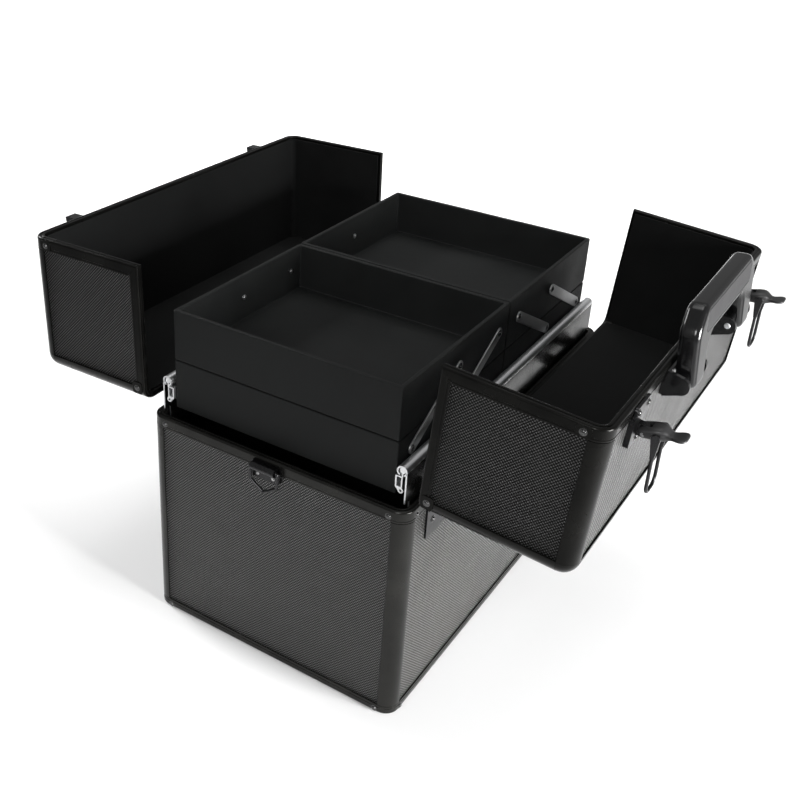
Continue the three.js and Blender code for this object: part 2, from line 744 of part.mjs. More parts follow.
// Wire bail drawn flat, reaching from its pivot toward the catch.
function latchBail(y) {
  const z = CASE_HEIGHT + LEVER_H;
  const pivot = LEVER_X + BAIL_OFFSET;
  const end = pivot - BAIL_REACH;
  const inner = LEVER_HALF + 0.5;
  const outer = inner + 2 * BAIL_WIRE;
  const zs = [z - BAIL_WIRE, z + BAIL_WIRE];
  let bail = block([end - BAIL_WIRE, end + BAIL_WIRE], [y - outer, y + outer], zs);
  for (const side of [-1, 1]) {
    const ys = [y + side * inner, y + side * outer];
    bail = bail
      .add(block([end, pivot], ys, zs))
      .add(bar('y', pivot, z, BAIL_EYE, ...ys))
      .add(bar('y', pivot, z, BAIL_PIN, y + side * (inner - 3), y + side * (inner + 1)));
  }
  return bail;
}

// Hook over the free edge of the left lid, for the wire to pull against.
function latchCatch(y) {
  const top = CASE_HEIGHT;
  const hook = [
    [CATCH_XS[0], top + 1],
    [CATCH_XS[0], top + CATCH_NOSE],
    [CATCH_XS[0] + 2, top + CATCH_NOSE],
    [CATCH_REACH, top + CATCH_LIP],
    [CATCH_REACH, top + CATCH_UNDER],
    [CATCH_BLOCK, top + CATCH_UNDER],
    [CATCH_BLOCK, top + 1],
  ].map(([x, z]) => [-x, z]);
  const plate = steppedPlate(-1, CATCH_XS, [y - LATCH_HALF, y + LATCH_HALF]);
  return plate.add(prism('y', hook, y - CATCH_HALF, y + CATCH_HALF));
}

function latches() {
  const pivotZ = CASE_HEIGHT + LEVER_H;
  const lift = turnAbout(LEVER_X, pivotZ, -LEVER_REST);
  const hang = 180 - (RIGHT_OPEN - 90);
  const carry = new THREE.Matrix4().makeTranslation(...bailShift());
  const swing = turnAbout(LEVER_X + BAIL_OFFSET, pivotZ, hang);
  for (const [end, y] of [['near', -LATCH_Y], ['far', LATCH_Y]]) {
    place(`${end}_latch_base`, latchBase(y), 'steel', RIGHT_TURN);
    place(`${end}_latch_lever`, latchLever(y), 'plastic', RIGHT_TURN.clone().multiply(lift));
    const bailTurn = RIGHT_TURN.clone().multiply(carry).multiply(swing);
    place(`${end}_latch_bail`, latchBail(y), 'steel', bailTurn);
    place(`${end}_catch`, latchCatch(y), 'steel', LEFT_TURN);
  }
}

// How far the bail's pivot moves when the lever is lifted to its rest angle.
function bailShift() {
  const angle = radians(LEVER_REST);
  return [BAIL_OFFSET * (Math.cos(angle) - 1), 0, BAIL_OFFSET * Math.sin(angle)];
}

// ---------- strap rings on the two ends ----------
function strapPlate(e) {
  const face = HALF_LENGTH + GAP;
  const sunk = HALF_LENGTH - PANEL_OUT + GAP;
  const front = face + STRAP_THICK;
  const under = BODY_HEIGHT - RIM_BAND - GAP;
  const xs = [RING_X - STRAP_HALF, RING_X + STRAP_HALF];
  const fold = [RING_X - STRAP_FOLD_HALF, RING_X + STRAP_FOLD_HALF];
  const bend = [RING_Z - STRAP_FOLD, RING_Z + STRAP_FOLD];
  return block(xs, [e * face, e * front], [STRAP_LOW, STRAP_HIGH])
    .add(block(xs, [e * sunk, e * front], [STRAP_LOW, under]))
    .add(block(fold, [e * face, e * RING_Y], bend))
    .add(bar('x', e * RING_Y, RING_Z, STRAP_FOLD, ...fold, 16))
    .subtract(bar('x', e * RING_Y, RING_Z, RING_WIRE + 0.9, ...xs));
}

function strapRing(e) {
  const loopOf = (half, high, shoulder, tip) => [
    [-half, high],
    [-half, shoulder],
    [0, tip],
    [half, shoulder],
    [half, high],
  ].map(([x, z]) => [RING_X + x, z]);
  const wire = 2 * RING_WIRE;
  const outer = loopOf(RING_HALF, RING_Z + RING_WIRE, RING_SHOULDER, RING_TIP);
  const inner = loopOf(
    RING_HALF - wire, RING_Z - RING_WIRE, RING_SHOULDER + wire / 2, RING_TIP + wire * 1.2,
  );
  return prism('y', outer, e * (RING_Y - RING_WIRE), e * (RING_Y + RING_WIRE), [inner]);
}

function strapRings() {
  for (const [end, e] of [['near', -1], ['far', 1]]) {
    place(`${end}_strap_plate`, strapPlate(e), 'steel');
    place(`${end}_strap_ring`, strapRing(e), 'steel');
  }
}

bodyPanels();
bodyFloor();
cornerPosts();
bodyFrames();
bodyLining();
lids();
hinges();
trays();
handle();
latches();
strapRings();

export default group;
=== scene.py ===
"""Makeup train case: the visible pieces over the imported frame, with camera, light and floor.

Lengths in the building functions are millimetres in the row frame; MM turns them into metres.
Lids, handle and latches are drawn closed and then turned open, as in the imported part.
"""

import math

import bmesh
import bpy
from mathutils import Matrix, Vector, noise


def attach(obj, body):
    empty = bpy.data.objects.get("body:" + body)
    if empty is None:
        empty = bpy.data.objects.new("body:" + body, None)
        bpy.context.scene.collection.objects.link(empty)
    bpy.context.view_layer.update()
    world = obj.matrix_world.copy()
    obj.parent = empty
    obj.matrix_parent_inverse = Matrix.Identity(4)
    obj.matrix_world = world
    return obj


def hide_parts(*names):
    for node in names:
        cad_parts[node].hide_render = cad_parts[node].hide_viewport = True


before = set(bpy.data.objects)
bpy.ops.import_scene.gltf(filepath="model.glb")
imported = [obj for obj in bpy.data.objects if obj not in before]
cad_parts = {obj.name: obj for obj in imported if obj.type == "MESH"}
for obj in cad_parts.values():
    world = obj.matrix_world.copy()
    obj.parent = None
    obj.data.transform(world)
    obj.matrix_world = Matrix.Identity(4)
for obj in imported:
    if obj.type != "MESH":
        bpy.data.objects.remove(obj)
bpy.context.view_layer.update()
MM = 0.001

# ---------- dimensions of the part ----------
HALF_WIDTH = 116
HALF_LENGTH = 180
BODY_HEIGHT = 189
CASE_HEIGHT = 301
CORNER = 12
SKIN = 1.2
FLANGE = 4.8
WALL = 5.8
SHELF = 13.5
CLEAR = 0.3
JOINT_GAP = 0.15
MITRE_GAP = 0.08
FRAME_RIVET_X = 101
FRAME_RIVET_Y = 166
FRAME_RIVET_ZS = (183.2, 3.2)
FRAME_RIVET_RADIUS = 1.7
LINING_TOP_GAP = 8
LINING_OUT = 6.1
LINING_THICK = 0.8
LINING_EDGE = 2.6
PANEL_OUT = 1.5
PANEL_IN = 4.5
RIM_BAND = 10
BASE_BAND = 8
LID_LOW = 189.5
LID_RIM_BAND = 8
LID_EDGE_BAND = 10
PANEL_HOLD = 10.3
PANEL_FOOT = 1.6
BALL_WALL = 1.4
CENTRE_GAP = 0.3
HINGE_X = 121.5
HINGE_Z = 190
RIGHT_OPEN = 94.4
LEFT_OPEN = 91.1
TUBE_X = 104.6
TUBE_Z = 217
TUBE_RADIUS = 4.2
TUBE_WALL = 1.2
SLIT_HALF = 1.5
RAIL_HALF = 171.5
RAIL_TOP = 216.4
RAIL_SHOULDER = 191
RAIL_FOOT = 150
RAIL_FOOT_HALF = 165
RAIL_THICK = 1.2
TRAY_HALF = 98.9
TRAY_NEAR = 168.5
TRAY_CENTRE = 0.8
TRAY_HEIGHT = 42
TRAY_WALL = 3.5
TRAY_FLOOR = 3
TRAY_EDGE = 1.1
TRAY_SWELL = (22, 0.16)
TRAY_RIPPLE = (90, 0.05)
LOWER_Z = 194.3
UPPER_Z = 236.9
LOW_PIVOT_Z = 223.5
HIGH_PIVOT_Z = 259.5
PIVOT_SHIFT = 65.5
LOW_PIVOTS = {"outer": 150.5, "inner": 84}
LINK_RADIUS = 4.5
LINK_THICK = 1.4
STUD_RADIUS = 1.5
HANGER_END = 170.5
HANGER_TOP = 212
CURL_Z = 200.4
CURL_RADIUS = 2.2
BEAD_RADIUS = 2.4
NECK_HALF = 0.6
PAST_ENDS = 200
HANDLE_X = 11.5
HANDLE_H = 11
HANDLE_LEAN = 8.7
BRACKET_YS = (35, 76)
EAR_THICK = 3
EAR_RADIUS = 6.5
BOLT_YS = (41.5, 69.8)
GRIP_HALF = 7
GRIP_OUT = -39
GRIP_IN = -14
PAD_SINK = 1.2
LATCH_Y = 125
LEVER_X = 22
LEVER_H = 7.2
LEVER_REST = 100
BAIL_OFFSET = 9
BAIL_REACH = 41
BAIL_HALF = 9
BAIL_BEND = 6
BAIL_RADIUS = 1.15
PLATE_HALF = 13
PLATE_TOP = 2.2
POST_HALF = 3
LEVER_PIN_HALF = 7.4
HOOK_HALF = 5
PLATE_RIVET_RADIUS = 1.9
RING_X = -2.5
RING_Y = 184.3
RING_Z = 183
FOLD_HALF = 10.6
FOLD_RADIUS = 3.4
RING_BORE = 1.6
RING_HALF = 12.2
RING_RADIUS = 1.2
SIDES = {"left": -1, "right": 1}
ENDS = {"near": -1, "far": 1}


# ---------- shape helpers ----------
def arc(u, v, radius, start, end, steps=8):
    """Points along an arc, angles in degrees."""
    turns = [math.radians(start + (end - start) * i / steps) for i in range(steps + 1)]
    return [(u + radius * math.cos(t), v + radius * math.sin(t)) for t in turns]


def lay(axis, u, v, w):
    """The point whose outline coordinates are (u, v) and whose depth along the axis is w."""
    return {"x": (w, u, v), "y": (u, w, v), "z": (u, v, w)}[axis]


def between(sign, a, b):
    """The span between two distances on the side that the sign gives, low end first."""
    return sorted((sign * a, sign * b))


def about(centre, half):
    """The span that reaches half to each side of a centre."""
    return centre - half, centre + half


def object_of(bm):
    """A new object that holds the built mesh."""
    mesh = bpy.data.meshes.new("shape")
    bm.to_mesh(mesh)
    bm.free()
    obj = bpy.data.objects.new("shape", mesh)
    bpy.context.scene.collection.objects.link(obj)
    return obj


def made(verts, faces):
    """A new object from points in millimetres, with its faces turned outward."""
    bm = bmesh.new()
    points = [bm.verts.new(Vector(v) * MM) for v in verts]
    for face in faces:
        bm.faces.new([points[i] for i in face])
    bmesh.ops.remove_doubles(bm, verts=bm.verts, dist=1e-7)
    bmesh.ops.recalc_face_normals(bm, faces=bm.faces)
    return object_of(bm)


def loft(rows, closed=False):
    """Skin over closed sections with equal point counts; open lofts get a cap at both ends."""
    count = len(rows[0])
    verts = [p for row in rows for p in row]
    faces = []
    last = len(rows) if closed else len(rows) - 1
    for r in range(last):
        here, there = r * count, ((r + 1) % len(rows)) * count
        for i in range(count):
            j = (i + 1) % count
            faces.append((here + i, here + j, there + j, there + i))
    if not closed:
        faces.append(tuple(reversed(range(count))))
        faces.append(tuple(range(last * count, (last + 1) * count)))
    return made(verts, faces)


def prism(axis, outline, low, high):
    """Outline pushed along an axis from low to high."""
    return loft([[lay(axis, u, v, w) for u, v in outline] for w in (low, high)])


def block(xs, ys, zs):
    """Box between two corners, given as spans in any order."""
    (x0, x1), (y0, y1), z = sorted(xs), sorted(ys), sorted(zs)
    return prism("z", [(x0, y0), (x1, y0), (x1, y1), (x0, y1)], *z)


def bar(axis, u, v, radius, low, high, sides=40):
    """Round bar along an axis."""
    return prism(axis, arc(u, v, radius, 0, 360 - 360 / sides, sides - 1), low, high)


def rounded(points, radii, steps=6):
    """Outline with each corner replaced by an arc of the given radius."""
    if not isinstance(radii, (list, tuple)):
        radii = [radii] * len(points)
    outline = []
    for i, (point, radius) in enumerate(zip(points, radii)):
        here = Vector(point)
        back = (Vector(points[i - 1]) - here).normalized()
        ahead = (Vector(points[(i + 1) % len(points)]) - here).normalized()
        half = back.angle(ahead) / 2
        reach = radius / math.tan(half)
        centre = here + (back + ahead).normalized() * (radius / math.sin(half))
        first, last = here + back * reach - centre, here + ahead * reach - centre
        sweep = first.angle_signed(last)
        for k in range(steps + 1):
            turn = Matrix.Rotation(-sweep * k / steps, 2)
            outline.append(tuple(centre + turn @ first))
    return outline


def filleted(corners, steps):
    """Outline of corners that each bring their own radius, as (u, v, radius)."""
    return rounded([corner[:2] for corner in corners], [corner[2] for corner in corners], steps)


def rectangle(u0, u1, v0, v1, radius, steps=5):
    """Rounded rectangle outline."""
    return rounded([(u0, v0), (u1, v0), (u1, v1), (u0, v1)], radius, steps)


def applied(obj):
    """Bakes the object's modifiers into its mesh."""
    bpy.context.view_layer.update()
    graph = bpy.context.evaluated_depsgraph_get()
    mesh = bpy.data.meshes.new_from_object(obj.evaluated_get(graph), depsgraph=graph)
    old = obj.data
    obj.modifiers.clear()
    obj.data = mesh
    bpy.data.meshes.remove(old)
    return obj


def combined(target, others, operation):
    """Adds or cuts shapes, one after another."""
    for other in others:
        modifier = target.modifiers.new("combine", "BOOLEAN")
        modifier.operation = operation
        modifier.solver = "EXACT"
        modifier.object = other
        applied(target)
        bpy.data.objects.remove(other)
    return target


def add(target, *others):
    """Welds the other shapes onto the target."""
    return combined(target, others, "UNION")


def cut(target, *others):
    """Takes the other shapes out of the target."""
    return combined(target, others, "DIFFERENCE")


def merged(parts):
    """Joins separate closed shapes into one object, keeping their materials."""
    bm = bmesh.new()
    slots = []
    for part in parts:
        for material in part.data.materials:
            if material not in slots:
                slots.append(material)
        mine = [slots.index(material) for material in part.data.materials]
        start = len(bm.faces)
        bm.from_mesh(part.data)
        bm.faces.ensure_lookup_table()
        for face in bm.faces[start:]:
            if mine:
                face.material_index = mine[face.material_index]
    mesh = bpy.data.meshes.new("shape")
    bm.to_mesh(mesh)
    bm.free()
    for material in slots:
        mesh.materials.append(material)
    first = parts[0]
    for part in parts[1:]:
        bpy.data.objects.remove(part)
    first.data = mesh
    return first


def eased(obj, width, segments=3, angle=30):
    """Rounds every edge sharper than the angle."""
    modifier = obj.modifiers.new("ease", "BEVEL")
    modifier.width = width * MM
    modifier.segments = segments
    modifier.limit_method = "ANGLE"
    modifier.angle_limit = math.radians(angle)
    modifier.use_clamp_overlap = True
    modifier.miter_outer = "MITER_ARC"
    return applied(obj)


def shaded(obj, angle=35):
    """Smooth shading with creases kept, weighted by face area."""
    obj.data.shade_smooth()
    obj.data.set_sharp_from_angle(angle=math.radians(angle))
    modifier = obj.modifiers.new("normals", "WEIGHTED_NORMAL")
    modifier.keep_sharp = True
    modifier.weight = 80
    return applied(obj)


def painted(obj, material):
    obj.data.materials.clear()
    obj.data.materials.append(material)
    return obj


def piece(obj, name, body, material=None, replaces=(), turn=None, angle=35):
    """Finishes a shape: name, shading, material, place, body and the CAD nodes it stands for."""
    obj.name = name
    obj.data.name = name
    shaded(obj, angle)
    if material:
        painted(obj, material)
    if turn:
        obj.matrix_world = turn
    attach(obj, body)
    if replaces:
        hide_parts(*replaces)
    return obj


def turn_about(x, z, degrees):
    """Rotation about a line along Y through (x, z), positive from +Z toward +X."""
    shift = Matrix.Translation((x * MM, 0, z * MM))
    return shift @ Matrix.Rotation(math.radians(degrees), 4, "Y") @ shift.inverted()


RIGHT_TURN = turn_about(HINGE_X, HINGE_Z, RIGHT_OPEN)
LEFT_TURN = turn_about(-HINGE_X, HINGE_Z, -LEFT_OPEN)
TURNS = {"left": LEFT_TURN, "right": RIGHT_TURN}


# ---------- materials ----------
def material(name, metallic=0.0, specular=0.5):
    """A Principled material, its node tree and its shader, to be given a colour and roughness."""
    mat = bpy.data.materials.new(name)
    mat.use_nodes = True
    tree = mat.node_tree
    shader = next(n for n in tree.nodes if n.type == "BSDF_PRINCIPLED")
    shader.inputs["Metallic"].default_value = metallic
    shader.inputs["Specular IOR Level"].default_value = specular
    return mat, tree, shader


def node(tree, kind, values=None, **settings):
    """Adds a node; values set its sockets by name or index, or link them when given a socket."""
    made_node = tree.nodes.new(kind)
    for key, value in settings.items():
        setattr(made_node, key, value)
    for key, value in (values or {}).items():
        if isinstance(value, bpy.types.NodeSocket):
            tree.links.new(value, made_node.inputs[key])
        else:
            made_node.inputs[key].default_value = value
    return made_node


def place_of(tree, scale=(1, 1, 1)):
    """Object coordinates in millimetres, stretched by scale."""
    coords = node(tree, "ShaderNodeTexCoord")
    values = {0: coords.outputs["Object"], 1: tuple(1000 * k for k in scale)}
    return node(tree, "ShaderNodeVectorMath", values, operation="MULTIPLY").outputs["Vector"]


def noise_of(tree, place, scale, detail=3.0, roughness=0.55):
    values = {"Vector": place, "Scale": scale, "Detail": detail, "Roughness": roughness}
    return node(tree, "ShaderNodeTexNoise", values).outputs["Fac"]


def ranged(tree, value, low, high, from_low=0.3, from_high=0.7):
    """Maps a noise value onto low..high."""
    values = {
        "Value": value, "From Min": from_low, "From Max": from_high, "To Min": low, "To Max": high
    }
    return node(tree, "ShaderNodeMapRange", values).outputs["Result"]


def maths(tree, operation, *values):
    return node(tree, "ShaderNodeMath", dict(enumerate(values)), operation=operation).outputs[0]


def toned(tree, shader, value, dark, light):
    """Base colour running from dark to light with a value."""
    mix = node(tree, "ShaderNodeMix", {"Factor": value}, data_type="RGBA")
    colours = [s for s in mix.inputs if s.type == "RGBA"]
    colours[0].default_value = (*dark, 1)
    colours[1].default_value = (*light, 1)
    result = next(s for s in mix.outputs if s.type == "RGBA")
    tree.links.new(result, shader.inputs["Base Color"])


def bumped(tree, shader, height, depth, strength=1.0, below=None):
    """Bump from a height of 0..1 whose full depth is in millimetres."""
    values = {"Height": height, "Distance": depth * MM, "Strength": strength}
    if below is not None:
        values["Normal"] = below
    bump = node(tree, "ShaderNodeBump", values)
    tree.links.new(bump.outputs["Normal"], shader.inputs["Normal"])
    return bump.outputs["Normal"]


EMBOSS_PITCH = 1.775
EMBOSS_DEPTH = 0.6
# Painted shade: the valleys take the near-black bed colour, and the pips take a lighter one.
EMBOSS_VALLEY_SHADE = (0.0004, 0.0004, 0.0004)
EMBOSS_PIP = (0.046, 0.04554, 0.04278)
EMBOSS_SHADED_SHINE = (0.12, 1.75)
ANODISED = ((0.013, 0.013, 0.0122), (0.024, 0.0238, 0.0218))


# A factor below one darkens the colour and specular of a copy as painted shade.
def panel_material(name, plane, shade_factor=1.0):
    """Glossy black sheet pressed with a grid of pips at 45 degrees, lying in the named plane, with painted
    shade in the valleys between the pips.
    """
    mat, tree, shader = material(name)
    place = place_of(tree)
    split = node(tree, "ShaderNodeSeparateXYZ", {0: place})
    first, second = (split.outputs[a.upper()] for a in plane)
    bumps, slopes = [], []
    for operation in ("ADD", "SUBTRACT"):
        along = maths(tree, "MULTIPLY", maths(tree, operation, first, second), math.sqrt(0.5))
        phase = maths(tree, "MULTIPLY", along, 2 * math.pi / EMBOSS_PITCH)
        bumps.append(maths(tree, "MULTIPLY_ADD", maths(tree, "COSINE", phase), -0.5, 0.5))
        slopes.append(maths(tree, "SINE", phase))
    height = maths(tree, "MULTIPLY", *bumps)
    steep = math.pi * EMBOSS_DEPTH / EMBOSS_PITCH * math.sqrt(0.5)
    crossed = [maths(tree, "MULTIPLY", slopes[k], bumps[1 - k]) for k in (0, 1)]
    rises = [maths(tree, "MULTIPLY", slope, steep) for slope in crossed]
    tilt = {
        plane[0].upper(): maths(tree, "ADD", *rises),
        plane[1].upper(): maths(tree, "SUBTRACT", *rises),
    }
    slope = node(tree, "ShaderNodeCombineXYZ", tilt).outputs[0]
    flat = node(tree, "ShaderNodeTexCoord").outputs["Normal"]
    tilted = node(
        tree, "ShaderNodeVectorMath", {0: flat, 1: slope}, operation="SUBTRACT"
    ).outputs["Vector"]
    facing = node(
        tree, "ShaderNodeVectorTransform", {"Vector": tilted},
        vector_type="NORMAL", convert_from="OBJECT", convert_to="WORLD",
    ).outputs["Vector"]
    tree.links.new(facing, shader.inputs["Normal"])
    wear = noise_of(tree, place, 0.02, 5.0, 0.6)
    rough = maths(tree, "ADD", ranged(tree, wear, 0.22, 0.32), ranged(tree, height, 0.14, 0.0, 0, 1))
    tree.links.new(rough, shader.inputs["Roughness"])
    # Painted shade: the specular level and the base colour both fall from the pips into the valleys.
    shaded_shine = ranged(tree, height, *(shade_factor * level for level in EMBOSS_SHADED_SHINE), 0.02, 0.65)
    tree.links.new(shaded_shine, shader.inputs["Specular IOR Level"])
    toned(tree, shader, height, EMBOSS_VALLEY_SHADE, [shade_factor * c for c in EMBOSS_PIP])
    return mat


def frame_material(name, shade_factor=1.0):
    """Black anodised aluminium with a fine grain and rubbed patches; a factor below one darkens a copy as
    painted shade.
    """
    mat, tree, shader = material(name, 0.7, 0.4 * shade_factor)
    place = place_of(tree)
    grain = noise_of(tree, place_of(tree, (0.35, 0.35, 0.35)), 6.0, 2.0)
    patches = noise_of(tree, place, 0.03, 4.0)
    rough = ranged(tree, patches, 0.2, 0.3)
    tree.links.new(rough, shader.inputs["Roughness"])
    dark, light = ((shade_factor * r, shade_factor * g, shade_factor * b) for r, g, b in ANODISED)
    toned(tree, shader, ranged(tree, patches, 0, 1), dark, light)
    bumped(tree, shader, grain, 0.012, 0.7)
    return mat


def leather_material():
    """Matte black leatherette: fine pebble grain, faint cloudiness."""
    mat, tree, shader = material("leatherette", specular=0.16)
    place = place_of(tree)
    cells = node(
        tree, "ShaderNodeTexVoronoi", {"Vector": place, "Scale": 1.1, "Randomness": 1.0},
        feature="DISTANCE_TO_EDGE",
    ).outputs["Distance"]
    pebbles = ranged(tree, cells, 0, 1, 0.0, 0.28)
    swell = noise_of(tree, place, 0.05, 2.0)
    cloud = noise_of(tree, place, 0.012, 4.0, 0.6)
    base = bumped(tree, shader, swell, 0.5, 0.4)
    bumped(tree, shader, pebbles, 0.07, 0.8, below=base)
    tree.links.new(ranged(tree, cloud, 0.5, 0.68), shader.inputs["Roughness"])
    toned(tree, shader, ranged(tree, cloud, 0, 1), (0.006, 0.0065, 0.0065), (0.01, 0.0107, 0.0105))
    return mat


def lining_material():
    """Thin black fabric over foam, matte with a woven grain."""
    mat, tree, shader = material("lining_cloth", specular=0.08)
    place = place_of(tree)
    threads = node(
        tree, "ShaderNodeTexVoronoi", {"Vector": place, "Scale": 1.8, "Randomness": 0.7}
    ).outputs["Distance"]
    cloud = noise_of(tree, place, 0.014, 4.0, 0.6)
    shader.inputs["Sheen Weight"].default_value = 0.015
    shader.inputs["Sheen Roughness"].default_value = 0.5
    base = bumped(tree, shader, noise_of(tree, place, 0.06, 2.0), 0.5, 0.35)
    bumped(tree, shader, threads, 0.08, 0.7, below=base)
    tree.links.new(ranged(tree, cloud, 0.72, 0.9), shader.inputs["Roughness"])
    toned(tree, shader, ranged(tree, cloud, 0, 1), (0.0035, 0.0037, 0.0037), (0.007, 0.0073, 0.0072))
    return mat


def metal_material(name, dark, light, rough, stretch=(1, 1, 1), streak=3.0, depth=0.006):
    """Metal with drawn or plated streaks along its short-scaled axis."""
    mat, tree, shader = material(name, 1.0)
    place = place_of(tree, stretch)
    lines = noise_of(tree, place, streak, 3.0)
    patches = noise_of(tree, place_of(tree), 0.09, 4.0)
    tree.links.new(ranged(tree, patches, *rough, 0.2, 0.8), shader.inputs["Roughness"])
    toned(tree, shader, ranged(tree, lines, 0, 1), dark, light)
    bumped(tree, shader, lines, depth, 0.6)
    return mat


def plastic_material(name, colour, rough, grain, depth):
    """Moulded black plastic with a faint moulding texture and rubbed patches."""
    mat, tree, shader = material(name)
    place = place_of(tree)
    patches = noise_of(tree, place, 0.035, 4.0)
    tree.links.new(ranged(tree, patches, *rough), shader.inputs["Roughness"])
    toned(tree, shader, ranged(tree, patches, 0, 1), tuple(0.75 * c for c in colour), colour)
    bumped(tree, shader, noise_of(tree, place, grain, 2.0), depth, 0.5)
    return mat


PANEL = {plane: panel_material(f"textured_panel_{plane}", plane) for plane in ("xz", "yz", "xy")}
# Painted shade: darker copies of the panel and frame materials, for the lid ends, the lid edging and tabs,
# and the rail plates.
SHADED_LID_END = panel_material("lid_end_panel_painted_shade", "xz", 0.52)
FRAME = frame_material("black_anodised")
SHADED_FRAME = frame_material("anodised_painted_shade", 0.45)
LEATHER = leather_material()
CLOTH = lining_material()
SILVER = metal_material(
    "raw_aluminium", (0.74, 0.75, 0.76), (0.88, 0.89, 0.9), (0.34, 0.4), (1, 0.02, 1), depth=0.002
)
SATIN = metal_material("satin_steel", (0.26, 0.262, 0.265), (0.42, 0.423, 0.425), (0.28, 0.42), (1, 0.3, 1))
PLATED = metal_material("black_plated", (0.03, 0.03, 0.031), (0.06, 0.06, 0.062), (0.22, 0.36))
RIVET = metal_material("rivet_head", (0.06, 0.06, 0.06), (0.12, 0.12, 0.12), (0.14, 0.24))
STUD_HEAD = metal_material("stud_head", (0.3, 0.3, 0.3), (0.5, 0.5, 0.5), (0.16, 0.26))
GLOSS = plastic_material("gloss_plastic", (0.0045, 0.0045, 0.0048), (0.12, 0.2), 1.2, 0.005)
DULL = plastic_material("dull_plastic", (0.02, 0.02, 0.0205), (0.36, 0.5), 2.2, 0.03)
INLAY = plastic_material("soft_inlay", (0.024, 0.024, 0.025), (0.42, 0.56), 3.0, 0.05)


# ---------- body ----------
def band_lip(band):
    """Outer end of a band: a rounded lip with a fine groove below it."""
    steps = [(0.1, 0.3), (0.0, 0.8), (0.0, 1.6), (0.3, 1.9), (0.3, 2.5), (0.0, 2.8)]
    return [(inset, band - below) for inset, below in steps]


def edge_profile(band, tongue):
    """Closed section of the edge extrusion as (inset, distance from the mating face)."""
    if tongue:
        lock = [(2.5, 0), (2.7, -0.25), (3.3, -0.25), (3.5, 0)]
    else:
        lock = [(2.1, 0), (2.4, 0.2), (2.4, 0.8), (3.6, 0.8), (3.6, 0.2), (3.9, 0)]
    return [
        *arc(1.8, 1.8, 1.8, 180, 270, 6),
        *lock,
        *arc(5.0, 0.8, 0.8, 270, 360, 4),
        *arc(5.3, 7.5, 0.5, 0, 180, 6),
        (FLANGE, SKIN),
        (SKIN, SKIN),
        (SKIN, band - 0.5),
        *arc(0.75, band - 0.45, 0.45, 0, 90, 3),
        (0.45, band),
        *band_lip(band),
    ]


def loop_of(inset, steps=10):
    """The body's rounded outline at an inset, always with the same number of points."""
    spare, r = max(inset - CORNER, 0), max(CORNER - inset, 0.05)
    u, v = HALF_WIDTH - CORNER - spare, HALF_LENGTH - CORNER - spare
    return [
        *arc(u, v, r, 0, 90, steps),
        *arc(-u, v, r, 90, 180, steps),
        *arc(-u, -v, r, 180, 270, steps),
        *arc(u, -v, r, 270, 360, steps),
    ]


def skinned(profile, station, place, closed=False):
    """Sweeps a profile: station gives the line that one profile point runs along."""
    lines = [station(*point) for point in profile]
    rows = [
        [place(*line[i], h) for line, (_, h) in zip(lines, profile)] for i in range(len(lines[0]))
    ]
    return loft(rows, closed)


def swept_rim(profile, height):
    """Closed frame round the body: height turns a profile distance into z."""
    return skinned(profile, lambda d, _: loop_of(d), lambda u, v, h: (u, v, height(h)), True)


def post_section():
    """Quarter-round corner post with stepped lips, as insets from its two faces."""
    lip = [(0.0, 12.3), (0.35, 12.7), (0.85, 12.7), (1.2, 12.3)]
    curve = arc(CORNER, CORNER, CORNER, 180, 270, 16)
    leg = [(CORNER, SKIN), (CORNER, FLANGE), (SHELF, FLANGE), (SHELF, WALL)]
    inside = [*leg, (WALL, WALL), *[(b, a) for a, b in reversed(leg[1:])]]
    far_lip = [(b, a) for a, b in lip]
    return [*curve, *far_lip, *inside, *reversed(lip)]


def rivet(axis, u, v, face, outward, radius, height=1.1, material=RIVET):
    """Domed rivet head on a low washer, standing on a face."""
    washer = [(radius + 0.9, -0.2), (radius + 0.9, 0.25), (radius + 0.55, 0.4), (radius + 0.05, 0.4)]
    dome = [(radius * c, 0.4 + height * s) for c, s in arc(0, 0, 1, 0, 88, 6)]
    rows = [
        [lay(axis, p, q, face + outward * h) for p, q in arc(u, v, r, 0, 345, 23)]
        for r, h in washer + dome
    ]
    return painted(loft(rows), material)


